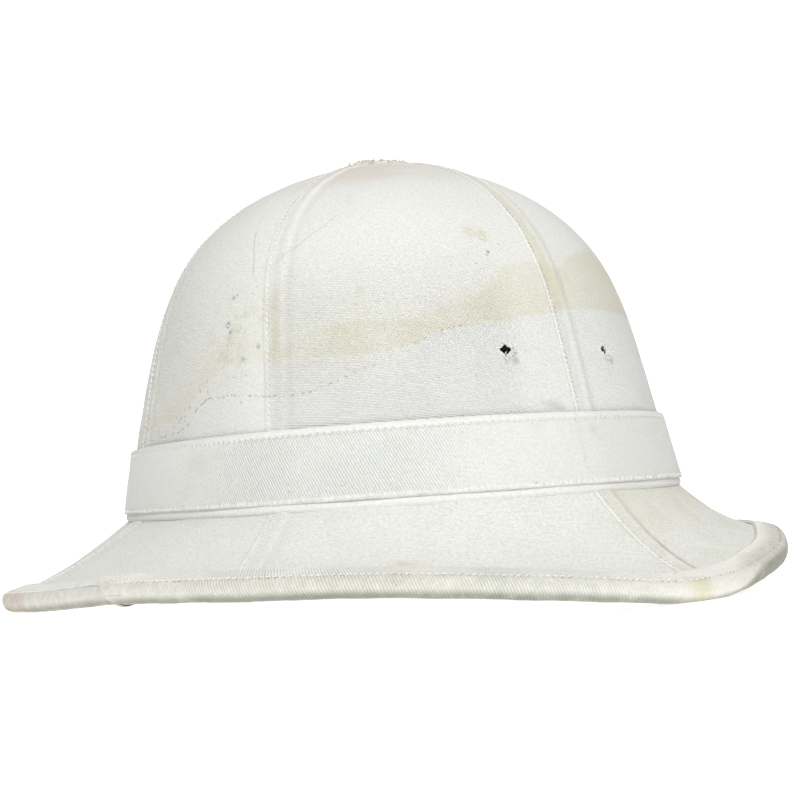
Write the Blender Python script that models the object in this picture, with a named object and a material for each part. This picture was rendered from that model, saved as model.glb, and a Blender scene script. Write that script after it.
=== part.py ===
"""White pith helmet: a stiff shell under six cloth panels, with a hat band, a bound brim and a bare vent.

Metres, +Z up. The front peak points to -Y and the wearer's left is +X. Angles are in degrees round
the hat: 0 at the front, 90 at the wearer's left, 180 at the back. While the hat is built, z = 0 is
the neck, the line where the crown meets the brim; at the end it is moved down to stand on z = 0.
"""

import math

import bmesh
import bpy
from mathutils import Vector

# Neck oval, on the outside of the cloth, from the axis through its widest place
NECK_FRONT = 0.1007
NECK_BACK = 0.1310
NECK_HALF_WIDTH = 0.0985
NECK_SQUARENESS = 2.10
TOP_SQUARENESS = 1.95

# Crown
CROWN_RISE = 0.1332
CROWN_LEAN = 0.0076
VENT_RADIUS = 0.0105
VENT_DIP = 0.0024
VENT_DIP_SHARPNESS = 24

# How the crown closes towards the vent on each side of the hat:
# (roundness of the shoulder, how late the shoulder turns in, taper of the wall below it)
CROWN_SIDES = {
    "front": (1.13, 5.9, 0.235),
    "flank": (1.00, 6.4, 0.190),
    "back": (1.60, 1.85, 0.187),
}

# Brim, to the rim of its cloth
BRIM_WIDTH = 0.0545
BRIM_DROP = 0.0293
BRIM_EDGE_RISE = 0.0100
BRIM_SAG = 0.0050
STATION_STEP = 20

# Stations from the front to the back, STATION_STEP apart, as shares of the four sizes above:
# (width of BRIM_WIDTH, rise of the edge of BRIM_EDGE_RISE, hollow of BRIM_SAG)
BRIM_STATIONS = (
    (0.820, 0.00, 1.00),
    (0.725, 0.49, 0.94),
    (0.636, 0.88, 0.80),
    (0.715, 1.01, 0.64),
    (0.770, 0.98, 0.55),
    (0.817, 0.64, 0.55),
    (0.864, 0.38, 0.60),
    (0.930, 0.19, 0.65),
    (0.985, 0.04, 0.70),
    (1.000, 0.00, 0.70),
)

# Layers
CLEARANCE = 0.0003
CLOTH = 0.0010
SHELL = 0.0030

# Seams: the brim's side seams run a little forward of the crown's at the rim
SIDE_SEAM = 65
BRIM_SIDE_SEAM = 61
REAR_SIDE_SEAM = 111

# Badge holes, one on each side of the front seam
BADGE_HOLE_RADIUS = 0.0020
BADGE_HOLE_ANGLE = 13.6
BADGE_HOLE_HEIGHT = 0.0485

# Hat band and the narrow folded strip that shows below it
BAND_BOTTOM = 0.0024
BAND_HEIGHT = 0.0242
BAND_THICKNESS = 0.0016
UNDER_BAND_THICKNESS = 0.0010

# Rolled section of a strip, bottom to top: (share of its height, share of its thickness)
STRIP_SECTION = (
    (0.00, 0.45),
    (0.06, 1.00),
    (0.50, 0.90),
    (0.94, 1.00),
    (1.00, 0.45),
)

# Binding of the brim's edge
BINDING = 0.0012
BINDING_NOSE = 0.0020
BINDING_TOP_LAP = 0.0090
BINDING_UNDER_LAP = 0.0080
REST_FLAT = 0.0005

# Folded rim of cloth round the vent
COLLAR_RADIUS = 0.0146
COLLAR_HEIGHT = 0.0024
COLLAR_ROLL = 0.0008

# Fineness of the faces
CROWN_ROWS = 12
BRIM_ROWS = 6
LAP_ROWS = 2
NOSE_ROWS = 6
COLLAR_COLUMNS = 28
HOLE_SIDES = 10
PROBE_SHARE = 1 / 2000
PROBE_DEGREES = 1 / 20

# Panels round the hat: (name, columns of faces), between the seams that follow
PANELS = (
    ("front_left", 8),
    ("side_left", 6),
    ("rear_left", 8),
    ("rear_right", 8),
    ("side_right", 6),
    ("front_right", 8),
)
# (angle at the neck, angle at the rim)
SEAMS = (
    (0, 0),
    (SIDE_SEAM, BRIM_SIDE_SEAM),
    (REAR_SIDE_SEAM, REAR_SIDE_SEAM),
    (180, 180),
    (360 - REAR_SIDE_SEAM, 360 - REAR_SIDE_SEAM),
    (360 - SIDE_SEAM, 360 - BRIM_SIDE_SEAM),
    (360, 360),
)

# (base colour, roughness, metallic)
FINISHES = {
    "cover_cloth": ((0.84, 0.84, 0.80), 0.85, 0.0),
    "band_twill": ((0.85, 0.86, 0.84), 0.80, 0.0),
    "binding_twill": ((0.80, 0.79, 0.72), 0.85, 0.0),
    "frayed_cloth": ((0.72, 0.68, 0.58), 0.90, 0.0),
    "shell_lining": ((0.70, 0.69, 0.65), 0.90, 0.0),
}

SHELL_TOP_LIFT = -(CLOTH + CLEARANCE)
SHELL_UNDER_LIFT = SHELL_TOP_LIFT - SHELL


def clear_scene():
    for item in list(bpy.data.objects):
        bpy.data.objects.remove(item, do_unlink=True)


def finish(name):
    """The material of one finish, made once."""
    if name in bpy.data.materials:
        return bpy.data.materials[name]
    colour, roughness, metallic = FINISHES[name]
    material = bpy.data.materials.new(name)
    material.use_nodes = True
    shader = material.node_tree.nodes["Principled BSDF"]
    shader.inputs["Base Color"].default_value = (*colour, 1)
    shader.inputs["Roughness"].default_value = roughness
    shader.inputs["Metallic"].default_value = metallic
    return material


def oval_point(angle, squareness):
    """Neck oval in plan, round when its squareness is 2."""
    sine, cosine = math.sin(angle), math.cos(angle)
    length = NECK_FRONT if cosine > 0 else NECK_BACK
    power = 2 / squareness
    x = NECK_HALF_WIDTH * math.copysign(abs(sine) ** power, sine)
    y = -length * math.copysign(abs(cosine) ** power, cosine)
    return Vector((x, y, 0))


def closing(side, share):
    """Radius of the crown at a share of its height, as a share of its radius at the neck."""
    roundness, lateness, taper = CROWN_SIDES[side]
    return (1 - share ** lateness) ** (1 / roundness) * (1 - taper * share)


def crown_surface(degrees, share):
    """Outside of the crown's cloth, from the neck (0) to the vent's rim (1)."""
    angle = math.radians(degrees)
    squareness = NECK_SQUARENESS + (TOP_SQUARENESS - NECK_SQUARENESS) * share
    wall = oval_point(angle, squareness)
    vent = Vector((math.sin(angle), -math.cos(angle), 0)) * VENT_RADIUS
    across = closing("flank", share)
    along = closing("front" if math.cos(angle) > 0 else "back", share)
    x = vent.x * (1 - across) + wall.x * across
    y = vent.y * (1 - along) + wall.y * along + CROWN_LEAN * share
    z = CROWN_RISE * share - VENT_DIP * share ** VENT_DIP_SHARPNESS
    return Vector((x, y, z))


def station(degrees, item):
    """Value of the brim's table at an angle, on a smooth curve through its stations."""
    turn = abs((degrees + 180) % 360 - 180)
    place = turn / STATION_STEP
    last = len(BRIM_STATIONS) - 1
    index = min(int(place), last - 1)
    part = place - index

    def value(number):
        mirrored = abs(number)
        if mirrored > last:
            mirrored = 2 * last - mirrored
        return BRIM_STATIONS[mirrored][item]

    before, first, second, after = (value(index + step) for step in (-1, 0, 1, 2))
    slope_in = (second - before) / 2
    slope_out = (after - first) / 2
    bend = 3 * (second - first) - 2 * slope_in - slope_out
    twist = 2 * (first - second) + slope_in + slope_out
    return first + part * (slope_in + part * (bend + part * twist))


def brim_width(degrees):
    return BRIM_WIDTH * station(degrees, 0)


def brim_surface(degrees, share):
    """Outside of the brim's cloth, from the neck (0) to the cloth's rim (1)."""
    angle = math.radians(degrees)
    step = math.radians(PROBE_DEGREES)
    neck = oval_point(angle, NECK_SQUARENESS)
    along = oval_point(angle + step, NECK_SQUARENESS) - oval_point(angle - step, NECK_SQUARENESS)
    outward = along.cross(Vector((0, 0, 1))).normalized()
    rim = neck + outward * brim_width(degrees)
    rim.z = BRIM_EDGE_RISE * station(degrees, 1) - BRIM_DROP
    hollow = (neck + rim) / 2
    hollow.z -= 2 * BRIM_SAG * station(degrees, 2)
    return neck.lerp(hollow, share).lerp(hollow.lerp(rim, share), share)


def frame_on(surface, degrees, share):
    """Point of a surface with its directions round the hat, up the hat and out of the cloth."""
    low, high = max(share - PROBE_SHARE, 0), min(share + PROBE_SHARE, 1)
    point = surface(degrees, share)
    around = surface(degrees + PROBE_DEGREES, share) - surface(degrees - PROBE_DEGREES, share)
    upward = surface(degrees, high) - surface(degrees, low)
    if surface is brim_surface:
        upward.negate()
    around.normalize()
    upward.normalize()
    return point, around, upward, around.cross(upward).normalized()


def lifted(surface, degrees, share, lift):
    """Point at a distance off a surface, outwards where it is positive."""
    point, _, _, normal = frame_on(surface, degrees, share)
    return point + normal * lift


def columns_between(first, last, count):
    """Columns of faces between two seams: (angle at the neck, angle at the rim)."""
    return [
        tuple(a + (b - a) * number / count for a, b in zip(first, last))
        for number in range(count + 1)
    ]


def all_columns():
    """Columns right round the hat, the first not repeated."""
    columns = []
    for number, (_, count) in enumerate(PANELS):
        columns += columns_between(SEAMS[number], SEAMS[number + 1], count)[:-1]
    return columns


def crown_rows():
    """Shares of the crown's height, closer together where it turns in to the vent."""
    return [math.sin(math.pi / 2 * row / CROWN_ROWS) for row in range(CROWN_ROWS + 1)]


def brim_rows():
    return [row / BRIM_ROWS for row in range(BRIM_ROWS + 1)]


def brim_angle(column, share):
    """Angle on the brim of a column that fans out from the neck to the rim."""
    at_neck, at_rim = column
    return at_neck + (at_rim - at_neck) * share


def add_solid(name, points, faces, finish_name):
    """One closed body from shared points, with its faces turned outwards."""
    mesh = bpy.data.meshes.new(name)
    body = bmesh.new()
    corners = [body.verts.new(point) for point in points]
    for face in faces:
        body.faces.new([corners[number] for number in face])
    bmesh.ops.recalc_face_normals(body, faces=body.faces)
    body.to_mesh(mesh)
    body.free()
    mesh.shade_smooth()
    mesh.set_sharp_from_angle(angle=math.radians(40))
    mesh.materials.append(finish(finish_name))
    item = bpy.data.objects.new(name, mesh)
    bpy.context.scene.collection.objects.link(item)
    return item


def loft(name, sections, finish_name, ring):
    """Body through sections of equal point counts, closed to a ring or capped at both ends.

    A section is (outer points, inner points), both from the bottom to the top.
    """
    size = 2 * len(sections[0][0])
    points = [point for outer, inner in sections for point in outer + inner[::-1]]
    spans = len(sections) if ring else len(sections) - 1
    faces = []
    for span in range(spans):
        here, there = span * size, (span + 1) % len(sections) * size
        for number in range(size):
            following = (number + 1) % size
            faces.append((here + number, here + following, there + following, there + number))
    if not ring:
        for start in (0, (len(sections) - 1) * size):
            for number in range(size // 2 - 1):
                opposite = size - 1 - number
                faces.append(tuple(start + corner for corner in (number, number + 1, opposite - 1, opposite)))
    return add_solid(name, points, faces, finish_name)


def panel(name, surface, seams, count, rows):
    """Cloth panel on one surface between two seams, clear of its neighbours."""
    columns = columns_between(*seams, count)
    sections = []
    for number, column in enumerate(columns):
        margin = 0
        if number == 0:
            margin = CLEARANCE / 2
        elif number == count:
            margin = -CLEARANCE / 2
        outer, inner = [], []
        for share in rows:
            degrees = column[0] if surface is crown_surface else brim_angle(column, share)
            point, around, _, normal = frame_on(surface, degrees, share)
            outer.append(point + around * margin)
            inner.append(outer[-1] - normal * CLOTH)
        sections.append((outer, inner))
    return loft(name, sections, "cover_cloth", ring=False)


def crown_panels():
    rows = crown_rows()
    rows[0] = CLEARANCE / CROWN_RISE
    return {
        name: panel("crown_panel_" + name, crown_surface, SEAMS[number:number + 2], count, rows)
        for number, (name, count) in enumerate(PANELS)
    }


def brim_panels():
    for number, (name, count) in enumerate(PANELS):
        panel("brim_panel_" + name, brim_surface, SEAMS[number:number + 2], count, brim_rows())


def shell_lifts(outer, inner):
    """Points of a section with the distance each one lies off the outside of the cloth."""
    return (outer, SHELL_TOP_LIFT), (inner, SHELL_UNDER_LIFT)


def crown_shell():
    """Stiff dome of the crown, open at the neck and at the vent."""
    sections = []
    for column in all_columns():
        outer, inner = [], []
        for points, lift in shell_lifts(outer, inner):
            for share in crown_rows():
                points.append(lifted(crown_surface, column[0], share, lift))
        sections.append((outer, inner))
    return loft("crown_shell", sections, "shell_lining", ring=True)


def brim_shell():
    """Stiff flare of the brim, whose upper end is the seat that the dome stands on."""
    sections = []
    for column in all_columns():
        outer, inner = [], []
        for points, lift in shell_lifts(outer, inner):
            for share in reversed(brim_rows()):
                points.append(lifted(brim_surface, brim_angle(column, share), share, lift))
            seat = lifted(crown_surface, column[0], 0, lift)
            seat.z -= CLEARANCE
            points.append(seat)
        sections.append((outer, inner))
    return loft("brim_shell", sections, "shell_lining", ring=True)


def strip(name, bottom, height, thickness, finish_name):
    """Cloth strip round the foot of the crown, with rolled edges."""
    sections = []
    for column in all_columns():
        outer, inner = [], []
        for rise, swell in STRIP_SECTION:
            share = (bottom + height * rise) / CROWN_RISE
            outer.append(lifted(crown_surface, column[0], share, CLEARANCE + thickness * swell))
            inner.append(lifted(crown_surface, column[0], share, CLEARANCE))
        sections.append((outer, inner))
    return loft(name, sections, finish_name, ring=True)


def binding_section(column):
    """Binding folded over the brim's edge, from its upper inner edge round to its lower one."""
    core = -SHELL_UNDER_LIFT
    width = brim_width(column[1])
    outer, inner = [], []

    def lap(depth, lifts):
        share = 1 - depth / width
        degrees = brim_angle(column, share)
        for points, lift in zip((outer, inner), lifts):
            points.append(lifted(brim_surface, degrees, share, lift))

    top_lifts = (CLEARANCE + BINDING, CLEARANCE)
    under_lifts = (-core - CLEARANCE - BINDING, -core - CLEARANCE)
    for row in range(LAP_ROWS):
        lap(BINDING_TOP_LAP * (1 - row / LAP_ROWS), top_lifts)
    rim, _, upward, normal = frame_on(brim_surface, column[1], 1)
    middle = rim - normal * core / 2
    for row in range(NOSE_ROWS + 1):
        turn = math.pi * row / NOSE_ROWS
        outer.append(
            middle
            - upward * BINDING_NOSE * math.sin(turn)
            + normal * (core / 2 + CLEARANCE + BINDING) * math.cos(turn)
        )
        level = (core / 2 + CLEARANCE) * (1 - 2 * row / NOSE_ROWS)
        inner.append(middle - upward * CLEARANCE + normal * level)
    for row in range(1, LAP_ROWS + 1):
        lap(BINDING_UNDER_LAP * row / LAP_ROWS, under_lifts)
    return outer, inner


def brim_binding():
    """Binding of the brim, flattened a little where the hat rests on it; also its lowest level."""
    sections = [binding_section(column) for column in all_columns()]
    floor = min(point.z for outer, _ in sections for point in outer) + REST_FLAT
    for outer, _ in sections:
        for point in outer:
            point.z = max(point.z, floor)
    return loft("brim_binding", sections, "binding_twill", ring=True), floor


def share_at_radius(degrees, radius):
    """Share of the crown's height where its cloth lies at a radius from the vent's axis."""
    low, high = 0.5, 1
    while high - low > 1e-7:
        middle = (low + high) / 2
        point = crown_surface(degrees, middle)
        if math.hypot(point.x, point.y - CROWN_LEAN) > radius:
            low = middle
        else:
            high = middle
    return high


def vent_collar():
    """Folded rim of cloth standing round the vent, with a flat top."""
    top = CROWN_RISE - VENT_DIP + COLLAR_HEIGHT
    axis = Vector((0, CROWN_LEAN, 0))
    sections = []
    for number in range(COLLAR_COLUMNS):
        degrees = 360 * number / COLLAR_COLUMNS
        foot = lifted(crown_surface, degrees, share_at_radius(degrees, COLLAR_RADIUS), CLEARANCE)
        lip = lifted(crown_surface, degrees, 1, CLEARANCE)
        outward = foot - axis
        outward.z = 0
        outward.normalize()

        def ring_point(radius, level):
            point = axis + outward * radius
            point.z = level
            return point

        outer = [
            foot,
            ring_point(COLLAR_RADIUS + COLLAR_ROLL / 2, top - 2 * COLLAR_ROLL),
            ring_point(COLLAR_RADIUS - COLLAR_ROLL / 2, top),
        ]
        inner = [
            lip,
            ring_point(VENT_RADIUS - COLLAR_ROLL / 4, top - 2 * COLLAR_ROLL),
            ring_point(VENT_RADIUS + COLLAR_ROLL / 2, top),
        ]
        sections.append((outer, inner))
    return loft("vent_collar", sections, "frayed_cloth", ring=True)


def badge_hole_cutter(name, degrees):
    """Round cutter through cloth and shell, square to the crown."""
    share = BADGE_HOLE_HEIGHT / CROWN_RISE
    point, _, _, normal = frame_on(crown_surface, degrees, share)
    depth = 8 * (CLOTH + SHELL)
    bpy.ops.mesh.primitive_cylinder_add(
        vertices=HOLE_SIDES,
        radius=BADGE_HOLE_RADIUS,
        depth=depth,
        location=point,
        rotation=normal.to_track_quat("Z", "Y").to_euler(),
    )
    cutter = bpy.context.active_object
    cutter.name = name
    cutter.hide_render = True
    cutter.display_type = "WIRE"
    return cutter


def cut(item, cutter):
    hole = item.modifiers.new("badge_hole", "BOOLEAN")
    hole.operation = "DIFFERENCE"
    hole.solver = "EXACT"
    hole.object = cutter


def stand_on_floor(binding, floor):
    """Moves everything so that z = 0 is where the binding rests and the plan is centred."""
    ys = [corner.co.y for corner in binding.data.vertices]
    shift = Vector((0, -(min(ys) + max(ys)) / 2, -floor))
    for item in bpy.data.objects:
        item.location += shift


def main():
    clear_scene()
    dome = crown_shell()
    brim_shell()
    crown = crown_panels()
    brim_panels()
    strip("under_band", CLEARANCE, BAND_BOTTOM - 2 * CLEARANCE, UNDER_BAND_THICKNESS, "band_twill")
    strip("hat_band", BAND_BOTTOM, BAND_HEIGHT, BAND_THICKNESS, "band_twill")
    binding, floor = brim_binding()
    vent_collar()
    for side, degrees in (("left", BADGE_HOLE_ANGLE), ("right", -BADGE_HOLE_ANGLE)):
        cutter = badge_hole_cutter("badge_hole_cutter_" + side, degrees)
        cut(crown["front_" + side], cutter)
        cut(dome, cutter)
    stand_on_floor(binding, floor)


main()
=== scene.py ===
"""An old white pith helmet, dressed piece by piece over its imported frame.

Lengths are in metres, in the frame's own axes: -Y is the front of the hat, +X its wearer's left.
A place on the hat is an angle round it in degrees, 0 at the front and 90 on the wearer's left,
and a share of the way up the crown from the neck, or down the brim from the neck.
"""

import math
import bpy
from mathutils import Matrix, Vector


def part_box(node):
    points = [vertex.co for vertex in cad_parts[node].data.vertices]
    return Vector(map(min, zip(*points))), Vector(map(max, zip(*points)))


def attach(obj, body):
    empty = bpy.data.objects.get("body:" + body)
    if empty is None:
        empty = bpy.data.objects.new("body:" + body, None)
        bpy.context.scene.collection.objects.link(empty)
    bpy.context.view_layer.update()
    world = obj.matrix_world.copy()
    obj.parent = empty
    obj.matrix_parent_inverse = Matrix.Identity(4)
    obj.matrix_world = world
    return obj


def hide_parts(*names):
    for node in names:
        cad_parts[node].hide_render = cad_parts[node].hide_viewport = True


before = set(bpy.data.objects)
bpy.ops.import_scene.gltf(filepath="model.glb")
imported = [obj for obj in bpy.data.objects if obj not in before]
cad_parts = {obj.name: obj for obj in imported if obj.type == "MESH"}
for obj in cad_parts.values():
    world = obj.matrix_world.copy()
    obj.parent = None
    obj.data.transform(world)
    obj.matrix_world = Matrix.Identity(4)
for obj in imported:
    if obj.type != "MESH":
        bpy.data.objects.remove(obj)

from types import SimpleNamespace

import bmesh
import bpy
import numpy as np
from bpy.props import (
    FloatProperty,
    FloatVectorProperty,
    IntProperty,
    PointerProperty,
)
from mathutils import Matrix, Vector

bl_info = {
    "name": "Pith Helmet",
    "version": (1, 0, 0),
    "blender": (4, 5, 0),
    "location": "View3D > Sidebar > Helmet",
    "description": "Dresses the packed pith helmet with its cloth, stitching and wear",
    "category": "Object",
}

MM = 0.001
BODY = "root"

# The hat's own shape, as in the frame. The oval of the neck narrows and rises to the vent.
NECK_FRONT = 0.1007
NECK_BACK = 0.1310
NECK_HALF_WIDTH = 0.0985
NECK_SQUARENESS = 2.10
TOP_SQUARENESS = 1.95
CROWN_RISE = 0.1332
CROWN_LEAN = 0.0076
VENT_RADIUS = 0.0105
VENT_DIP = 0.0024
VENT_DIP_SHARPNESS = 24
# How the crown closes: (roundness at the top, how late it starts, taper of the wall)
CROWN_SIDES = {
    "front": (1.13, 5.9, 0.235),
    "flank": (1.00, 6.4, 0.190),
    "back": (1.60, 1.85, 0.187),
}
BRIM_WIDTH = 0.0545
BRIM_DROP = 0.0293
BRIM_EDGE_RISE = 0.0100
BRIM_SAG = 0.0050
# Brim every 20 degrees from the front to the back: shares of its width, edge rise and sag
STATION_STEP = 20
BRIM_STATIONS = np.array((
    (0.820, 0.00, 1.00),
    (0.725, 0.49, 0.94),
    (0.636, 0.88, 0.80),
    (0.715, 1.01, 0.64),
    (0.770, 0.98, 0.55),
    (0.817, 0.64, 0.55),
    (0.864, 0.38, 0.60),
    (0.930, 0.19, 0.65),
    (0.985, 0.04, 0.70),
    (1.000, 0.00, 0.70),
))
# Thicknesses, and the gap between cloth and shell
CLEARANCE = 0.0003
CLOTH = 0.0010
SHELL = 0.0030
COLLAR_HEIGHT = 0.0024

# Panels round the hat and the seams between them: (angle at the neck, angle at the rim)
PANELS = ("front_left", "side_left", "rear_left", "rear_right", "side_right", "front_right")
SEAMS = ((0, 0), (65, 61), (108.6, 111), (180, 180), (251.4, 249), (295, 299), (360, 360))

# Badge holes: (panel, angle, height above the neck, radius, seed of its ragged edge)
BADGE_HOLES = (
    ("front_left", 13.6, 0.0485, 0.0019, 5),
    ("front_right", -13.6, 0.0485, 0.0020, 2),
)

# Lapped seam: (distance from the fold, height over the cloth) in mm, from the turned-under edge
LAP_FOLD = (
    (1.50, -0.14), (0.70, -0.17), (0.12, -0.20), (-0.24, -0.16), (-0.36, 0.02), (-0.32, 0.26),
    (-0.14, 0.46), (0.20, 0.56), (0.55, 0.50), (0.95, 0.34), (1.40, 0.40), (2.00, 0.46),
    (3.00, 0.40), (4.20, 0.42), (5.30, 0.56), (6.20, 0.60), (7.20, 0.40), (8.20, 0.08),
    (9.50, -0.08), (11.5, -0.02),
)
# The neighbour's edge that runs under it: (distance from the seam, height)
LAP_UNDER = (
    (14.0, 0.00), (11.0, 0.00), (8.00, 0.00), (5.00, 0.00), (3.00, 0.00), (1.80, 0.00),
    (0.90, 0.00), (0.30, 0.00), (-0.50, -0.02), (-1.40, -0.06),
)
LAP_REACH = (LAP_FOLD[-1][0] + LAP_UNDER[0][0]) * MM
# Most of a narrow panel's width that its two laps may take up
LAP_SHARE = 0.62
# Distance in mm of a seam's stitches from its fold
SEAM_STITCH_PLACE = 0.95
# Height of the seams' threads over the cloth, and how much lower the front seam's lie
SEAM_THREAD_LIFT = 0.50
FRONT_THREAD_DROP = 0.08

# Hat band: (height above the neck, height over the cloth) in mm, from its lower inner edge
BAND_SECTION = (
    (4.20, 0.98), (3.00, 0.96), (2.50, 1.06), (2.32, 1.30), (2.38, 1.60), (2.66, 1.82),
    (3.02, 1.80), (3.40, 1.58), (3.90, 1.82), (5.00, 1.92), (9.00, 1.92), (13.0, 1.88),
    (18.0, 1.88), (21.8, 1.92), (23.4, 1.88), (24.1, 1.64), (24.8, 1.84), (25.4, 1.94),
    (26.0, 1.86), (26.45, 1.60), (26.62, 1.20), (26.3, 0.72), (25.3, 0.56),
)
# Stitches at its foot and its head
BAND_STITCHES = ((3.30, 1.74), (24.1, 1.68))
# The narrow strip below the band, in the same measures, from its upper edge
UNDER_BAND_SECTION = (
    (9.00, 0.90), (5.00, 0.90), (2.60, 0.92), (2.05, 1.00), (1.40, 1.08), (0.75, 1.04),
    (0.25, 0.90), (-0.15, 0.66), (-0.42, 0.34), (-0.55, 0.05), (-0.20, -0.10),
)

# Binding: (distance in from the brim's edge, height over the cloth) in mm, top edge to lower edge
BINDING_SECTION = (
    (7.60, 0.06), (8.50, -0.06), (9.06, -0.04), (9.28, 0.28), (9.18, 0.72), (8.70, 1.12),
    (7.80, 1.36), (6.40, 1.54), (4.90, 1.60), (3.40, 1.64), (2.20, 1.66), (1.40, 1.58),
    (0.70, 1.30), (0.10, 1.22), (-0.55, 1.10), (-1.45, 0.30), (-2.00, -1.00), (-2.12, -2.15),
    (-2.02, -3.40), (-1.55, -4.55), (-0.70, -5.35), (0.50, -5.80), (2.00, -5.92), (4.00, -5.92),
    (5.50, -5.76), (6.35, -5.46), (7.00, -5.70), (7.70, -5.84), (8.12, -5.60), (8.06, -5.10),
    (7.40, -4.80),
)
# Stitches on top and underneath
BINDING_STITCHES = ((0.60, 1.42), (6.35, -5.54))
# Angle where the binding's ends meet, and how far the join leans round the hat
BINDING_JOIN = -88.0
BINDING_JOIN_SLANT = 6.0

# Rim of folded cloth round the vent: (radius, height over the vent's edge of the cloth) in mm
COLLAR_SECTION = (
    (10.6, -0.60), (10.3, 0.30), (10.6, 1.05), (11.4, 1.60), (12.4, 1.60), (13.3, 1.16),
    (14.1, 0.52), (14.9, -0.12), (15.2, -0.80), (14.8, -1.50), (13.4, -1.30),
)

# What the UV maps are counted in: degrees, metres up the crown, metres from an edge of the
# cloth, and mm round the section of the binding
PLACE_ANGLE = 180.0
PLACE_HEIGHT = 0.140
PLACE_MM = PLACE_HEIGHT / MM
EDGE_REACH = 0.020
BINDING_GIRTH = 30.0

# Radius of the hole in the shell, which lies hidden behind the wider one in the cloth
SHELL_HOLE = 0.0009
# How far from a badge hole's middle a point still belongs to its sheet
HOLE_REACH = 0.02
# Cloth raised round a badge hole, and the depth of the edge that is turned in
HOLE_RIM_LIFT = 0.00040
HOLE_RIM_WIDTH = 0.0007
HOLE_LIP = 0.0007
# Rows of the sheets near the badge holes, as shares of the crown's height: how far the close
# ones reach, and how near the wider ones may come
HOLE_FINE_REACH = 0.033
HOLE_FINE_GAP = 0.036
# How many close rows a cover and the shell have there, and the cover's close columns
COVER_FINE_ROWS, SHELL_FINE_ROWS = 23, 13
COVER_FINE_COLUMNS, COVER_FINE_REACH = 23, 0.0045

# Longest step in mm between points of a cloth's section
FOLD_STEP, UNDER_STEP, STRIP_STEP, COLLAR_STEP = 0.75, 1.6, 0.8, 0.45
# Distance between columns of the covers, and of the band, the strip below it and the binding
COVER_SPACING = 1.6 * MM
BAND_SPACING, UNDER_BAND_SPACING, BINDING_SPACING = 0.65 * MM, 1.3 * MM, 0.65 * MM
# Distance between rows of the covers
CROWN_FINENESS, BRIM_FINENESS = 0.66 * MM, 0.75 * MM
# Middling radius round the neck and round the brim's edge
CROWN_GIRTH_RADIUS, BRIM_GIRTH_RADIUS = 0.108, 0.137
# Angles where the ends of the hat band and of the strip below it meet, out of the photo's sight
BAND_JOIN, UNDER_BAND_JOIN = 100.0, 96.0
# How far round the strips and the binding go, so that their ends lap
STRIP_TURN, BINDING_TURN = 363, 363.5
# Cloth that laps over at a join, and how much the lower end sinks under it
JOIN_LIFT, JOIN_SINK = 0.0006, 0.0003
# Least height over the floor, and the turned edge of a cover at each side
FLOOR_GAP = 0.00002
HEM = 2 * MM

# Rust by the binding: the share of the brim's width where it starts, and how it drifts outwards
RUST_SHARE, RUST_DRIFT = 0.829, 0.042

# The studio. The camera stands as the fit to points measured in the photo has it.
CAMERA_PLACE = (-0.3280, -0.4595, 0.0393)
CAMERA_RIGHT = (0.80388, -0.59098, -0.06721)
CAMERA_UP = (0.01660, -0.09067, 0.99574)
CAMERA_LENS, CAMERA_SENSOR = 63.97, 36.0
# Soft lights: (name, place, what it points at, width, power)
SOFTBOXES = (
    ("key_softbox", (-0.90, -1.30, 1.25), (0.0, 0.0, 0.08), 0.7, 20.5),
    ("top_softbox", (0.1, -0.2, 1.9), (0.0, 0.0, 0.0), 1.4, 8.8),
)
SURROUNDING_LIGHT = 0.33
# Glow of the paper, in the open and under the hat, and the distances between which it changes
PAPER_GLOW, UNDER_GLOW = 0.55, 0.72
UNDER_REACH = (0.13, 0.20)
# The paper: where it starts, bends and ends behind the hat, its bend, height and half widths
PAPER_START, PAPER_FLAT_END, PAPER_END = -0.80, 0.35, 1.00
PAPER_BEND, PAPER_HEIGHT = 0.35, 1.10
PAPER_HALF_WIDTHS = (0.30, 0.62)
# The paper lies a little under the hat, and runs away from the camera
PAPER_DROP = 0.0002
AWAY_FROM_CAMERA = np.array((0.581, 0.814))


def collar_place():
    """Height of the neck and the hat's axis, read from the vent's collar in the frame."""
    low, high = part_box("vent_collar")
    neck = high.z - (CROWN_RISE - VENT_DIP + COLLAR_HEIGHT)
    return neck, (low.y + high.y) / 2 - CROWN_LEAN


NECK_Z, AXIS_Y = collar_place()
VENT_CENTRE = np.array((0, AXIS_Y + CROWN_LEAN, NECK_Z + CROWN_RISE - VENT_DIP))


class HelmetSizes(bpy.types.PropertyGroup):
    """Sizes of the cloth and the stitching."""

    stitch_pitch: FloatProperty(
        name="Stitch pitch", description="Distance from one stitch to the next",
        default=0.0025, min=0.001, unit="LENGTH")
    seam_pitch: FloatProperty(
        name="Seam stitch pitch", description="Distance between the stitches of the panel seams",
        default=0.0021, min=0.001, unit="LENGTH")
    stitch_length: FloatProperty(
        name="Stitch length", description="Length of the thread that shows in one stitch",
        default=0.0021, min=0.0005, unit="LENGTH")
    thread_thickness: FloatProperty(
        name="Thread thickness", description="Thickness of the sewing thread",
        default=0.00080, min=0.0001, unit="LENGTH")
    pucker: FloatProperty(
        name="Pucker", description="How deep each stitch pulls the cloth in",
        default=0.00030, min=0.0, unit="LENGTH")
    rib_pitch: FloatProperty(
        name="Rib pitch", description="Distance between the ribs of the twill",
        default=0.00091, min=0.0002, unit="LENGTH")
    unevenness: FloatProperty(
        name="Unevenness", description="How far the old cloth stands off its true shape",
        default=0.00028, min=0.0, unit="LENGTH")
    fray_length: FloatProperty(
        name="Fray length", description="Length of the loose threads at raw edges",
        default=0.0019, min=0.0005, unit="LENGTH")
    seed: IntProperty(
        name="Seed", description="Number that settles every uneven place", default=7, min=0)


def colour(name, description, default):
    """A colour that the user may change."""
    return FloatVectorProperty(
        name=name, description=description, default=default, size=3, subtype="COLOR",
        min=0.0, max=1.0)


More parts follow.
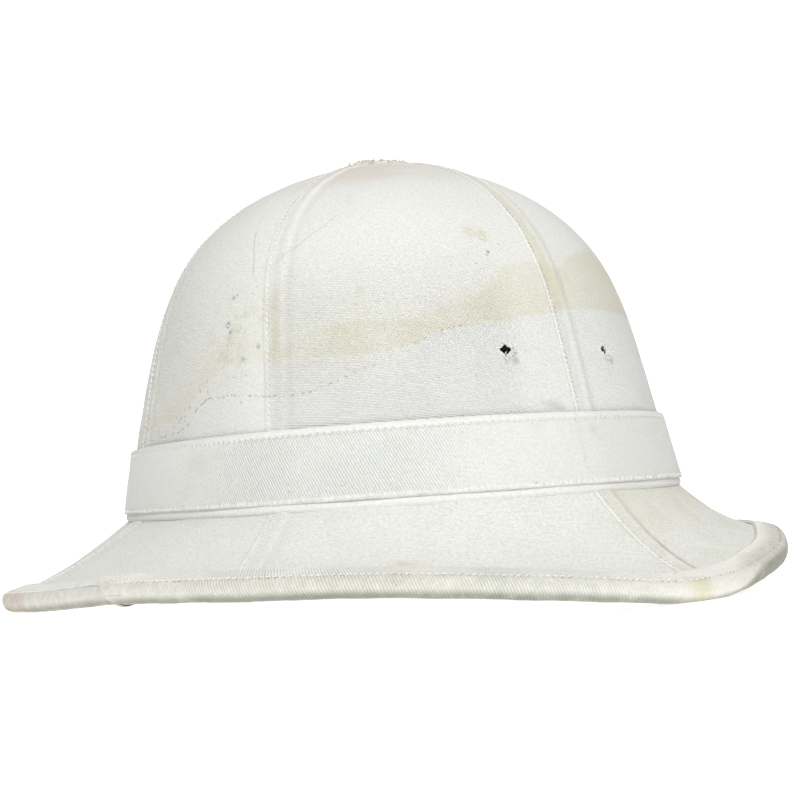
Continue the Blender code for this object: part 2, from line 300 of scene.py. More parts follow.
class HelmetColours(bpy.types.PropertyGroup):
    """Colours of the cloth, the thread, the dirt and the painted shade."""

    cloth: colour("Cloth", "Clean cloth of the crown and the brim", (0.84, 0.845, 0.81))
    band: colour("Band", "Twill of the hat band", (0.86, 0.87, 0.84))
    binding: colour("Binding", "Twill that binds the brim", (0.90, 0.895, 0.84))
    thread: colour("Thread", "Sewing thread", (0.85, 0.85, 0.82))
    soiled: colour("Soiled thread", "Sewing thread that has gone brown", (0.80, 0.78, 0.70))
    yellow: colour("Yellow stain", "Water stain on the crown", (0.66, 0.63, 0.45))
    brown: colour("Brown dirt", "Dirt along the seams", (0.30, 0.21, 0.12))
    # Grey for soil, also mixed in as painted shade
    grey: colour("Grey soil and shade", "General soiling and painted shade", (0.55, 0.54, 0.50))
    fray: colour("Frayed cloth", "Raw cloth round the vent", (0.82, 0.79, 0.72))
    lining: colour("Lining", "Plain lining inside and under the brim", (0.60, 0.60, 0.57))
    floor: colour("Floor", "Floor of the studio", (0.93, 0.93, 0.93))


# Surfaces


def wrapped(degrees):
    """An angle brought to between -180 and 180."""
    return (degrees + 180) % 360 - 180


def cubic(before, first, second, after, part):
    """Place on a smooth curve, at a part of the way from its first point to its second."""
    slope_in, slope_out = (second - before) / 2, (after - first) / 2
    bend = 3 * (second - first) - 2 * slope_in - slope_out
    twist = 2 * (first - second) + slope_in + slope_out
    return first + part * (slope_in + part * (bend + part * twist))


def oval(angle, squareness):
    """Neck oval in plan, round when its squareness is 2."""
    sine, cosine = np.sin(angle), np.cos(angle)
    power = 2 / squareness
    length = np.where(cosine > 0, NECK_FRONT, NECK_BACK)
    x = NECK_HALF_WIDTH * np.sign(sine) * np.abs(sine) ** power
    y = -length * np.sign(cosine) * np.abs(cosine) ** power
    return x, y


def closing(side, share):
    """Radius of the crown at a share of its height, as a share of its radius at the neck."""
    roundness, lateness, taper = CROWN_SIDES[side]
    return (1 - share ** lateness) ** (1 / roundness) * (1 - taper * share)


def crown_surface(degrees, share):
    """Outside of the crown's cloth, from the neck (0) to the vent's rim (1)."""
    angle, share = np.broadcast_arrays(np.radians(degrees), np.clip(share, 0, 1))
    squareness = NECK_SQUARENESS + (TOP_SQUARENESS - NECK_SQUARENESS) * share
    x, y = oval(angle, squareness)
    across = closing("flank", share)
    along = np.where(np.cos(angle) > 0, closing("front", share), closing("back", share))
    x = np.sin(angle) * VENT_RADIUS * (1 - across) + x * across
    y = -np.cos(angle) * VENT_RADIUS * (1 - along) + y * along + CROWN_LEAN * share
    z = CROWN_RISE * share - VENT_DIP * share ** VENT_DIP_SHARPNESS
    return np.stack((x, y + AXIS_Y, z + NECK_Z), -1)


def station(degrees, item):
    """Value of the brim's table at an angle, on a smooth curve through its stations."""
    place = np.abs(wrapped(degrees)) / STATION_STEP
    last = len(BRIM_STATIONS) - 1
    index = np.minimum(place.astype(int), last - 1)
    part = place - index

    def value(number):
        number = np.abs(number)
        return BRIM_STATIONS[np.where(number > last, 2 * last - number, number), item]

    return cubic(*(value(index + step) for step in (-1, 0, 1, 2)), part)


def brim_width(degrees):
    """Width of the brim from the neck to the cloth's rim."""
    return BRIM_WIDTH * station(np.asarray(degrees, float), 0)


def brim_surface(degrees, share):
    """Outside of the brim's cloth, from the neck (0) to the cloth's rim (1)."""
    degrees, share = np.broadcast_arrays(np.asarray(degrees, float), np.asarray(share, float))
    angle, step = np.radians(degrees), math.radians(0.05)
    x, y = oval(angle, NECK_SQUARENESS)
    ahead, behind = oval(angle + step, NECK_SQUARENESS), oval(angle - step, NECK_SQUARENESS)
    along_x, along_y = ahead[0] - behind[0], ahead[1] - behind[1]
    size = np.hypot(along_x, along_y)
    width = brim_width(degrees)
    rim_x, rim_y = x + along_y / size * width, y - along_x / size * width
    rim_z = BRIM_EDGE_RISE * station(degrees, 1) - BRIM_DROP
    sag_x, sag_y = (x + rim_x) / 2, (y + rim_y) / 2
    sag_z = rim_z / 2 - 2 * BRIM_SAG * station(degrees, 2)

    def bent(neck, sag, rim):
        return neck * (1 - share) ** 2 + 2 * sag * share * (1 - share) + rim * share ** 2

    return np.stack((
        bent(x, sag_x, rim_x),
        bent(y, sag_y, rim_y) + AXIS_Y,
        bent(0 * x, sag_z, rim_z) + NECK_Z,
    ), -1)


def unit(vectors):
    """Vectors brought to a length of one."""
    return vectors / np.maximum(np.linalg.norm(vectors, axis=-1, keepdims=True), 1e-12)


def frame_on(surface, degrees, share):
    """Points of a surface with their directions round the hat, up the hat and out of the cloth."""
    degrees, share = np.broadcast_arrays(np.asarray(degrees, float), np.asarray(share, float))
    low, high = np.clip(share - 5e-4, 0, 1), np.clip(share + 5e-4, 0, 1)
    around = unit(surface(degrees + 0.05, share) - surface(degrees - 0.05, share))
    upward = unit(surface(degrees, high) - surface(degrees, low))
    if surface is brim_surface:
        upward = -upward
    return surface(degrees, share), around, upward, unit(np.cross(around, upward))


def bulge(values, middle, reach):
    """1 at a value, falling off smoothly on both sides of it."""
    return np.exp(-((values - middle) / reach) ** 2)


def uneven(points, seed, shortest, longest, count=14):
    """Smooth, seeded noise between about -1 and 1 at points in space."""
    draws = np.random.default_rng(seed)
    total = np.zeros(points.shape[:-1])
    for _ in range(count):
        direction = unit(draws.normal(size=3))
        length = draws.uniform(shortest, longest)
        total += np.sin(points @ direction * (2 * math.pi / length) + draws.uniform(0, 6.28))
    return total / math.sqrt(count)


def smooth_profile(points, spacing):
    """A curve through given points, resampled so that no step is longer than the spacing."""
    knots = np.array(points, float)
    padded = np.vstack((2 * knots[0] - knots[1], knots, 2 * knots[-1] - knots[-2]))
    made = []
    for number in range(len(knots) - 1):
        steps = max(1, math.ceil(np.linalg.norm(knots[number + 1] - knots[number]) / spacing))
        made += [cubic(*padded[number:number + 4], step / steps) for step in range(steps)]
    return np.array(made + [knots[-1]])


def even_shares(surface, degrees, spacing, low=0.0, high=1.0):
    """Shares that step evenly along the cloth at one angle."""
    fine = low + (high - low) * np.sin(np.linspace(0, math.pi / 2, 3000))
    length = length_along(surface(np.full_like(fine, degrees), fine))
    count = math.ceil(length[-1] / spacing)
    return np.interp(np.linspace(0, length[-1], count + 1), length, fine)


def length_along(points):
    """Length along a line of points, or along each column of a grid of them, from its start."""
    steps = np.linalg.norm(np.diff(points, axis=0), axis=-1)
    return np.concatenate((np.zeros_like(steps[:1]), np.cumsum(steps, axis=0)))


def around_vent(turns):
    """Level directions out from the vent's middle, at turns from the front."""
    return np.stack((np.sin(turns), -np.cos(turns), 0 * turns), -1)


def hole_frame(hole):
    """Middle of a badge hole, with the directions round the hat, up the hat and out of the cloth."""
    _, degrees, height, _, _ = hole
    frames = frame_on(crown_surface, np.array([degrees]), np.array([height / CROWN_RISE]))
    return [part[0] for part in frames]


def finer_near_hole(shares, middle, count):
    """Shares up the crown with closer ones round the height of the badge holes."""
    close = middle + np.linspace(-HOLE_FINE_REACH, HOLE_FINE_REACH, count)
    return np.sort(np.concatenate((shares[np.abs(shares - middle) > HOLE_FINE_GAP], close)))


# Meshes


def mesh_of(name, points, faces, maps):
    """A mesh from points and quads, with its UV maps given point by point."""
    mesh = bpy.data.meshes.new(name)
    mesh.from_pydata(np.asarray(points).tolist(), [], np.asarray(faces).tolist())
    corners = np.empty(len(mesh.loops), np.int32)
    mesh.loops.foreach_get("vertex_index", corners)
    for label, values in maps.items():
        layer = mesh.uv_layers.new(name=label)
        layer.data.foreach_set("uv", np.asarray(values, np.float32)[corners].ravel())
    return mesh


def add_piece(name, points, faces, maps, material, replaces=()):
    """A smooth piece from grids of points and UV values, and quads."""
    maps = {label: values.reshape(-1, 2) for label, values in maps.items()}
    mesh = mesh_of(name, points.reshape(-1, 3), faces, maps)
    mesh.shade_smooth()
    mesh.validate()
    return place_piece(name, mesh, material, replaces)


def place_piece(name, mesh, material, replaces=()):
    """Puts a mesh in the scene as a piece that rides on the hat."""
    mesh.materials.clear()
    mesh.materials.append(material)
    piece = bpy.data.objects.new(name, mesh)
    bpy.context.scene.collection.objects.link(piece)
    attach(piece, BODY)
    if replaces:
        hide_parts(*replaces)
    return piece


def grid_faces(rows, columns, ring=False):
    """Quads of a grid, facing outwards when the columns go round and the rows go up."""
    spans = columns if ring else columns - 1
    row, column = np.meshgrid(np.arange(rows - 1), np.arange(spans), indexing="ij")
    following = (column + 1) % columns
    return np.stack((
        row * columns + column,
        row * columns + following,
        (row + 1) * columns + following,
        (row + 1) * columns + column,
    ), -1).reshape(-1, 4)


def baked(piece):
    """The piece's mesh with its modifiers in it."""
    graph = bpy.context.evaluated_depsgraph_get()
    mesh = bpy.data.meshes.new_from_object(piece.evaluated_get(graph), depsgraph=graph)
    mesh.name = piece.name
    return mesh


def with_modifier(name, mesh, kind, settings):
    """A mesh after one modifier, as a plain mesh."""
    worker = bpy.data.objects.new(name, mesh)
    bpy.context.scene.collection.objects.link(worker)
    modifier = worker.modifiers.new(kind.title(), kind)
    for key, value in settings.items():
        setattr(modifier, key, value)
    result = baked(worker)
    bpy.data.objects.remove(worker)
    return result


def hole_outline(turn, radius, seed):
    """Ragged diamond: its radius at each turn round the hole."""
    draws = np.random.default_rng(seed)
    edge = radius * (1 + 0.16 * np.cos(4 * turn + draws.uniform(-0.4, 0.4)))
    for count in (3, 5, 7, 9):
        edge = edge + radius * 0.10 / math.sqrt(count) * np.sin(count * turn + draws.uniform(0, 6.28))
    return edge


def pierce(points, faces, hole, lip):
    """Opens a ragged hole in a sheet and turns a lip in at its edge.

    Gives the points, the faces, and the numbers of the points that the new ones copy.
    """
    radius, seed = hole[3:]
    centre, around, upward, normal = hole_frame(hole)

    def polar(places):
        offset = places - centre
        x, y = offset @ around, offset @ upward
        near = np.abs(offset @ normal) < HOLE_REACH
        return np.where(near, np.hypot(x, y), 1.0), np.arctan2(y, x)

    distance, turn = polar(points[faces].mean(axis=1))
    gone = distance < hole_outline(turn, radius, seed)
    kept, removed = faces[~gone], faces[gone]
    edge_points = np.intersect1d(kept, removed)
    distance, turn = polar(points[edge_points])
    stretch = (hole_outline(turn, radius, seed) / distance - 1)[:, None]
    offset = points[edge_points] - centre
    flat = offset - (offset @ normal)[:, None] * normal
    points = points.copy()
    points[edge_points] += flat * stretch
    rim = points - centre
    off = rim - (rim @ normal)[:, None] * normal
    gap = np.where(np.abs(rim @ normal) < HOLE_REACH, np.linalg.norm(off, axis=-1), 1.0) - radius
    points += normal * (HOLE_RIM_LIFT * np.exp(-(gap / HOLE_RIM_WIDTH) ** 2))[:, None]
    inward = -unit(flat)
    lowered = points[edge_points] + inward * lip * 0.35 - normal * lip
    deeper = lowered - normal * lip - inward * lip * 0.5
    number_of = {old: number for number, old in enumerate(edge_points)}
    start, more = len(points), len(edge_points)
    used = {tuple(edge) for face in removed for edge in zip(face, np.roll(face, -1))}
    walls = []
    for face in kept[np.isin(kept, edge_points).any(axis=1)]:
        for a, b in zip(face, np.roll(face, -1)):
            if (b, a) in used:
                a_new, b_new = start + number_of[a], start + number_of[b]
                walls.append((b, a, a_new, b_new))
                walls.append((b_new, a_new, a_new + more, b_new + more))
    copies = np.concatenate((np.arange(len(points)), edge_points, edge_points))
    return np.vstack((points, lowered, deeper)), np.vstack((kept, walls)), copies


# Shader writing


class Wire:
    """A number or a vector in a material. Arithmetic on it adds the nodes that work it out."""

    def __init__(self, paint, socket):
        self.paint, self.socket = paint, socket

    def math(self, operation, *others):
        return self.paint.node("Math", {"operation": operation}, dict(enumerate((self, *others))))

    def __add__(self, other):
        return self.math("ADD", other)

    def __sub__(self, other):
        return self.math("SUBTRACT", other)

    def __mul__(self, other):
        return self.math("MULTIPLY", other)

    def __truediv__(self, other):
        return self.math("DIVIDE", other)

    def __neg__(self):
        return self.math("MULTIPLY", -1.0)

    def __rsub__(self, other):
        return self.paint.node("Math", {"operation": "SUBTRACT"}, {0: other, 1: self})

    __radd__ = __add__
    __rmul__ = __mul__

    def sine(self):
        return self.math("SINE")

    def size(self):
        return self.math("ABSOLUTE")

    def power(self, other):
        return self.math("POWER", other)

    def between(self, low, high, start=0.0, end=1.0):
        """Smooth step from start to end while the value goes from low to high."""
        inputs = {"Value": self, "From Min": low, "From Max": high, "To Min": start, "To Max": end}
        return self.paint.node("MapRange", {"interpolation_type": "SMOOTHSTEP"}, inputs)

    def near(self, place, reach):
        """1 at a place, falling to 0 at a distance from it."""
        return (self - place).size().between(0.0, reach, 1.0, 0.0)

    def curve(self, points):
        """Value of a smooth curve through points whose values lie between 0 and 1."""
        return self.paint.node("FloatCurve", {"points": points}, {"Value": self})


class Paint:
    """A material being put together from nodes."""

    def __init__(self, name):
        self.material = bpy.data.materials.new(name)
        self.material.use_nodes = True
        self.tree = self.material.node_tree
        self.shader = self.tree.nodes["Principled BSDF"]

    def node(self, kind, settings=None, inputs=None, output=0):
        """Adds a node: its settings first, then the values and links of its sockets."""
        made = self.tree.nodes.new("ShaderNode" + kind)
        for key, value in (settings or {}).items():
            if key == "points":
                curve = made.mapping.curves[0]
                for number, place in enumerate(value):
                    if number < 2:
                        curve.points[number].location = place
                    else:
                        curve.points.new(*place)
                made.mapping.update()
            else:
                setattr(made, key, value)
        for key, value in (inputs or {}).items():
            self.join(value, made.inputs[key])
        return Wire(self, made.outputs[output])

    def join(self, value, socket):
        """Links a wire to a socket, or sets the socket to a plain value."""
        if isinstance(value, Wire):
            self.tree.links.new(value.socket, socket)
        else:
            socket.default_value = value

    def map(self, name):
        """Both numbers of a UV map."""
        place = self.node("UVMap", {"uv_map": name})
        first = self.node("SeparateXYZ", None, {"Vector": place})
        return first, Wire(self, first.socket.node.outputs[1])

    def object_place(self):
        return self.node("TexCoord", None, None, "Object")

    def noise(self, vector, size, detail=3.0, roughness=0.55, seed=0.0):
        """Cloudy noise from 0 to 1 whose spots are about the given size in metres."""
        moved = self.node("VectorMath", {"operation": "ADD"}, {
            0: vector, 1: (seed * 0.37, seed * 0.73, seed * 1.19)})
        return self.node("TexNoise", None, {
            "Vector": moved, "Scale": 1 / size, "Detail": detail, "Roughness": roughness})

    def mix(self, factor, first, second):
        """Mixes two colours by a factor."""
        settings = {"data_type": "RGBA", "clamp_factor": True}
        return self.node("Mix", settings, {0: factor, 6: opaque(first), 7: opaque(second)}, 2)

    def vector(self, x, y, z=0.0):
        return self.node("CombineXYZ", None, {0: x, 1: y, 2: z})

    def finish(self, base, roughness, height, depth):
        """Feeds the shader: colour, roughness, and a bump of a depth in metres."""
        bump = self.node("Bump", None, {"Strength": 1.0, "Distance": depth, "Height": height})
        for label, value in (
            ("Base Color", base), ("Roughness", roughness), ("Normal", bump),
            ("Specular IOR Level", 0.15), ("Sheen Weight", 0.12), ("Sheen Roughness", 0.5),
        ):
            self.join(value, self.shader.inputs[label])
        return self.material


def opaque(value):
    """A plain colour with its alpha; a wire as it is."""
    return value if isinstance(value, Wire) else (*value[:3], 1.0)


def settings_of(context):
    """The sizes and the colours that the user may change."""
    return context.scene.helmet_sizes, context.scene.helmet_colours


def twill(paint, across, along, pitch, wander, seed):
    """Ribs that repeat across the cloth, and the dashes that break them: both from 0 to 1."""
    drift = paint.noise(paint.vector(across, along), 0.006, 2.0, seed=seed) * wander
    rib = ((across / pitch + drift) * (2 * math.pi)).sine() * 0.5 + 0.5
    dash = ((along / (pitch * 1.15) + across / pitch * 0.5) * (2 * math.pi)).sine() * 0.5 + 0.5
    return rib, dash


def along_ribs(s, t, degrees):
    """Distances across and along ribs that are turned from level."""
    angle = math.radians(degrees)
    return t * math.cos(angle) - s * math.sin(angle), s * math.cos(angle) + t * math.sin(angle)


def away_from(angle, height, place_angle, place_height, width):
    """Distance in mm over the cloth from a place, where a degree is as many mm wide."""
    return (((angle - place_angle) * width).power(2.0) + (height - place_height).power(2.0)).power(0.5)


def spots(paint, base, angle, height, places, tint, broken, width=1.6):
    """Small soiled spots: (angle, height in mm, reach in mm, strength)."""
    for spot_angle, spot_height, reach, strength in places:
        away = away_from(angle, height, spot_angle, spot_height, width)
        spot = away.between(reach * 0.35, reach, 1.0, 0.0)
        base = paint.mix(spot * broken * strength, base, tint)
    return base


def edge_curve(turn, places):
    """Height in mm of a stain's edge at each angle, through listed places."""
    points = [((angle - STAIN_FROM) / (STAIN_TO - STAIN_FROM), height / PLACE_MM)
              for angle, height in places]
    return turn.curve(points) * PLACE_MM


def scratch_line(up, points):
    """Angle of a scratch at each share of the way up, from -120 to 60 degrees as 0 to 1."""
    return up.curve(points) * 180 - 120


# Tints mixed into the crown's cloth: stains and wear, and painted shade (in the rib valleys, below the
# holes, beside the seams) and painted highlight (on the seams' folds and ridges)
RIB_SHADE = (0.50, 0.50, 0.47)
WASHED_WHITE = (0.70, 0.725, 0.725)
FRONT_STAIN = (0.46, 0.38, 0.22)
LOW_DOTS = (0.26, 0.22, 0.12)
TIDE_RIM = (0.34, 0.28, 0.15)
ORANGE_RIM = (0.50, 0.36, 0.14)
TORN_CLOTH = (0.90, 0.89, 0.80)
HOLE_SHADE = (0.34, 0.38, 0.33)
SCRATCH = (0.40, 0.39, 0.36)
OCHRE_SPOT = (0.58, 0.52, 0.30)
BROWN_SPOT = (0.30, 0.23, 0.12)
BLUE_SPOT = (0.17, 0.20, 0.24)
MOTTLE = (0.50, 0.48, 0.28)
PULLED_THREAD = (0.22, 0.23, 0.22)
SEAM_YELLOW = (0.65, 0.60, 0.42)
SIDE_SEAM_YELLOW = (0.60, 0.57, 0.36)
STITCH_GROOVE_BROWN = (0.40, 0.32, 0.20)
SEAM_SHADE = (0.40, 0.38, 0.34)
WORN_FOLD_AND_HIGHLIGHT = (0.93, 0.93, 0.90)
VENT_SOIL = (0.60, 0.49, 0.37)
RIDGE_HIGHLIGHT = (0.95, 0.95, 0.92)
# The same for the brim, the hat band and the binding, with painted shade in rib valleys, stitch gaps and on
# the binding's outer face and underside, and the near-black painted shade round the holes in the shell
BRIM_YELLOW = (0.70, 0.68, 0.52)
BAND_SOIL = (0.64, 0.60, 0.45)
SEAM_SOIL = (0.62, 0.58, 0.42)
BRIM_BLOT = (0.58, 0.48, 0.28)
BRIM_SEAM_SHADE = (0.36, 0.34, 0.30)
RUST = (0.40, 0.27, 0.16)
BAND_RIB_SHADE = (0.42, 0.43, 0.41)
STITCH_GAP_SHADE = (0.38, 0.36, 0.30)
BAND_WEAR = (0.56, 0.53, 0.43)
BAND_SPOT = (0.42, 0.33, 0.22)
BINDING_RIB_SHADE = (0.42, 0.42, 0.36)
INNER_RUST = (0.42, 0.30, 0.20)
GREENISH_SHADE = (0.43, 0.43, 0.36)
UNDERSIDE_SHADE = (0.14, 0.14, 0.10)
TIP_BLOT = (0.57, 0.52, 0.30)
ROSY_SOIL = (0.62, 0.46, 0.34)
END_RUST = (0.42, 0.26, 0.17)
NEAR_BLACK_HOLE_SHADE = (0.010, 0.009, 0.008)

# Water stain: heights in mm above the neck at angles round the hat. The tide is its lower edge,
# and the yellow band lies between its own foot and top.
STAIN_FROM, STAIN_TO = -125.0, 35.0
TIDE = (
    (-125, 27), (-113.5, 28.4), (-97, 29.2), (-90.5, 30.6), (-82.5, 39.3), (-76, 40),
    (-64.5, 38.1), (-57.5, 37.8), (-51, 40.2), (-45, 43.4), (-40, 46.0), (-36, 49.5),
    (-31, 53.2), (-27, 55.6), (-20.5, 57), (-14, 57.6), (-9, 59), (0.5, 61.3), (7, 62.6),
    (17, 62.9), (35, 62.6),
)
YELLOW_FOOT = (
    (-125, 30), (-100, 34), (-92, 36), (-84.5, 43), (-73.5, 51), (-64, 49.8), (-52.5, 49.6),
    (-43, 49.4), (-36, 50.5), (-31, 53.2), (-27, 55.6), (-20.5, 57), (-14, 57.6), (-9, 59),
    (0.5, 61.3), (7, 62.6), (17, 62.9), (35, 62.6),
)
YELLOW_TOP = (
    (-125, 33), (-100, 38), (-92, 43), (-84.5, 52), (-73.5, 61), (-64, 56.5), (-57, 58.5),
    (-50, 60.6), (-44, 61.4), (-37, 60.8), (-32, 61.6), (-26, 63.4), (-20.5, 66.4), (-17.5, 69),
    (-14, 73), (-10.5, 77), (-7.5, 79.6), (-1.5, 80), (4, 78.5), (11.5, 82.2), (23, 87.5), (35, 89),
)


def cover_cloth(sizes, colours):
    """Aged cotton of the crown: ribs, grain, tide marks, dirt along the seams, and painted shade and
    highlight.
    """
    paint = Paint("crown_cotton")
    at = SimpleNamespace(where=paint.object_place())
    at.s, at.t = paint.map("cloth")
    angle, height = paint.map("place")
    at.angle, at.height = angle * PLACE_ANGLE, height * PLACE_MM
    left, right = paint.map("edge")
    at.left, at.right = left * (EDGE_REACH / MM), right * (EDGE_REACH / MM)
    at.patchy = paint.noise(at.where, 0.012, 5.0, 0.7, 41.0)
    at.dots = paint.noise(at.where, 0.0014, 2.0, 0.6, 51.0)
    clouds = paint.noise(at.where, 0.045, 4.0, 0.62, 12.0)
    base, relief = crown_weave(paint, at, clouds, sizes, colours)
    base = water_stain(paint, at, base, colours)
    base = hole_wear_and_shadow(paint, at, base)
    base = crown_marks(paint, at, base, colours)
    base = pulled_threads(paint, at, base)
    base = crown_seams(paint, at, base, colours)
    base = crown_ends(paint, at, base, colours)
    return paint.finish(base, clouds.between(0.3, 0.7, 0.84, 0.94), relief, 0.00032)


def crown_weave(paint, at, clouds, sizes, colours):
    """Clean cloth of the crown, with painted shade in its rib valleys and on its sides where it turns away
    from the light, and its relief.

    The ribs run level at a panel's left edge and fall more and more towards its right edge.
    """
    fall = (at.s + 0.050).power(2.0) * 1.7 + at.s * 0.05
    rib, dash = twill(paint, at.t + fall, at.s, sizes.rib_pitch, 0.40, 1.0)
    patches = paint.noise(at.where, 0.020, 3.0, 0.6, 8.0).between(0.36, 0.62, 0.86, 1.0)
    ribbing = patches * at.t.between(0.060, 0.100, 1.0, 0.22) * at.s.between(0.026, 0.040, 1.0, 0.45)
    ribbing = ribbing * at.angle.between(-3.0, 3.0, 1.0, 0.46)
    ribbing = ribbing * at.angle.between(-68.0, -60.0, 0.46, 1.0)
    valley = (1 - rib).power(1.6) * (dash * 0.4 + 0.6)
    grain = paint.noise(paint.vector(at.s, at.t * 1.5), 0.00125, 2.5, 0.75, 3.0)
    fine = paint.noise(at.where, 0.0030, 4.0, 0.75, 71.0)
    base = paint.mix(clouds.between(0.48, 0.80) * 0.07, colours.cloth, colours.grey)
    # Painted shade in the valleys of the ribs
    base = paint.mix(valley * ribbing * 0.48, base, RIB_SHADE)
    base = paint.mix(grain.between(0.36, 0.66) * 0.34, base, colours.grey)
    # Painted shade on the crown's two sides, where it turns away from the light
    painted_turning_shade = at.angle.between(-96, -68, 0.18, 0.0) + at.angle.between(16, 30, 0.0, 0.18)
    base = paint.mix(painted_turning_shade, base, colours.grey)
    return base, rib * ribbing * 0.80 + dash * ribbing * 0.25 + grain * 0.90 + fine * 0.50


def water_stain(paint, at, base, colours):
    """The washed cloth under the tide's edge, the yellow band over it, and the rust between."""
    angle, height, dots = at.angle, at.height, at.dots
    ragged = paint.noise(at.where, 0.0055, 5.0, 0.72, 31.0) * 7.0 - 3.5
    turn = (angle - STAIN_FROM) / (STAIN_TO - STAIN_FROM)
    shown = angle.between(-122, -112) * (angle + ragged * 3.0).between(36, 62, 1.0, 0.0)
    tide, foot, top = (edge_curve(turn, places) for places in (TIDE, YELLOW_FOOT, YELLOW_TOP))
    over_tide = (height - tide + ragged * 0.45).between(-0.5, 0.7)
    base = paint.mix(over_tide * shown * height.between(60, 105, 0.09, 0.02), base, colours.yellow)
    base = paint.mix((1 - over_tide) * 0.22 * shown, base, WASHED_WHITE)
    inside = (height - foot + ragged * 0.50).between(-0.5, 0.8)
    inside = inside * (top - height + ragged * 1.2).between(-0.6, 2.2) * shown
    strength = at.patchy.between(0.28, 0.66, 0.24, 0.46) * angle.between(-66, -40, 0.55, 1.0)
    base = paint.mix(inside * strength, base, colours.yellow)
    base = paint.mix(inside * angle.between(9, 24) * 0.08, base, FRONT_STAIN)
    halo = (top - height + 9.0 + ragged * 2.0).between(0.0, 9.0) * (height - foot).between(0, 2)
    base = paint.mix(halo * shown * at.patchy.between(0.45, 0.70) * 0.16, base, colours.yellow)

    # Rusty dots that the tide left along its edge
    low_dots = (height - tide).near(4.5, 4.0) * angle.between(-82, -76, 1.0, 0.0)
    low_dots = low_dots * paint.noise(at.where, 0.0014, 2.0, 0.6, 57.0).between(0.60, 0.66)
    base = paint.mix(low_dots * shown * 0.62, base, LOW_DOTS)
    rim = (height - tide + ragged * 0.30).near(0.2, 0.62) * shown * angle.between(-45, -38, 1.0, 0.0)
    rim = rim * dots.between(0.52, 0.58) * angle.between(-80, -70, 0.85, 0.62)
    base = paint.mix(rim, base, TIDE_RIM)
    high = (height - tide + ragged * 0.45).near(0.2, 1.0) * angle.between(-38, -33)
    high = high * angle.between(-22, -17, 1.0, 0.0)
    return paint.mix(high * dots.between(0.54, 0.62) * 0.70, base, ORANGE_RIM)


def hole_wear_and_shadow(paint, at, base):
    """Frayed, pale cloth at the badge holes, and a painted shadow below and to the right of each."""
    for _, hole_angle, hole_height, _, _ in reversed(BADGE_HOLES):
        away = away_from(at.angle, at.height, hole_angle, hole_height / MM, 1.55)
        base = paint.mix(away.between(1.8, 3.4, 0.60, 0.0), base, TORN_CLOTH)
        # Painted shadow below and to the right of the hole
        away = away_from(at.angle, at.height, hole_angle + 1.9, hole_height / MM - 3.9, 1.55)
        base = paint.mix(away.between(0.4, 1.9, 0.50, 0.0), base, HOLE_SHADE)
    return base


def crown_marks(paint, at, base, colours):
    """Two scratches that run up the crown, spots, a mottled patch and brown specks."""
    angle, height, dots = at.angle, at.height, at.dots
    up = height / PLACE_MM
    first = scratch_line(up, ((0, 0.2), (0.57, 0.283), (0.73, 0.262), (1, 0.25)))
    second = scratch_line(up, ((0, 0.2), (0.589, 0.314), (0.65, 0.352), (0.72, 0.40), (1, 0.42)))
    for line, start, end in ((first, 79, 101), (second, 81, 102)):
        mark = (angle - line).near(0.0, 0.36) * height.between(start, start + 4)
        mark = mark * height.between(end - 4, end, 1.0, 0.0)
        base = paint.mix(mark * 0.45, base, SCRATCH)
    base = spots(paint, base, angle, height, (
        (-12.5, 89.5, 4.4, 0.42), (-15.5, 91, 3.6, 0.36), (-45.5, 106, 3.6, 0.26),
        (-43, 71, 2.2, 0.30), (-44, 66.5, 1.6, 0.26), (38, 66, 2.6, 0.35), (97, 58, 3.4, 0.35),
        (150, 80, 3.6, 0.32), (-150, 45, 3.8, 0.35)), OCHRE_SPOT, dots.between(0.38, 0.56))
    base = spots(paint, base, angle, height, (
        (-12.2, 82.8, 0.9, 0.75), (-12.8, 81.6, 0.6, 0.60), (-8.5, 86.0, 0.6, 0.50),
        (-6.8, 86.3, 0.5, 0.45), (-16.0, 78.5, 0.5, 0.45), (-21.0, 40.0, 0.5, 0.45)),
        BROWN_SPOT, dots.between(0.30, 0.46))
    base = spots(paint, base, angle, height, (
        (-75.5, 64.7, 1.7, 0.70), (-74.8, 62.0, 1.1, 0.55), (-74.3, 74.0, 1.2, 0.50),
        (-73.2, 74.8, 0.8, 0.45), (-71.0, 52.0, 1.2, 0.40), (-66.8, 55.5, 1.3, 0.40)),
        BLUE_SPOT, dots.between(0.34, 0.50))
    mottled = angle.near(-73.0, 15.0) * height.between(42, 54) * height.between(64, 78, 1.0, 0.0)
    mottled = mottled * paint.noise(at.where, 0.0065, 5.0, 0.75, 91.0).between(0.50, 0.60)
    base = paint.mix(mottled * 0.34, base, MOTTLE)
    specks = paint.noise(at.where, 0.0020, 1.0, 0.5, 61.0).between(0.72, 0.78)
    speckled = paint.noise(at.where, 0.022, 2.0, 0.5, 66.0).between(0.46, 0.62)
    side = angle.between(-72, -66, 1.0, 0.30) + angle.between(100, 170, 0.0, 0.70)
    return paint.mix(specks * speckled * side * 0.60, base, colours.brown)


def pulled_threads(paint, at, base):
    """Pulled threads by the front seam, just above the band."""
    hatch = ((at.t * 0.80 - at.s * 0.60) * (2 * math.pi / 0.00072)).sine().between(-0.1, 0.5)
    hatch = hatch * (at.angle + at.height * 0.9).near(21.5, 4.2) * at.height.between(27.0, 28.0)
    hatch = hatch * at.height.between(29.5, 32.0, 1.0, 0.0) * (-at.angle).between(1.5, 3.0)
    return paint.mix(hatch * 0.55, base, PULLED_THREAD)


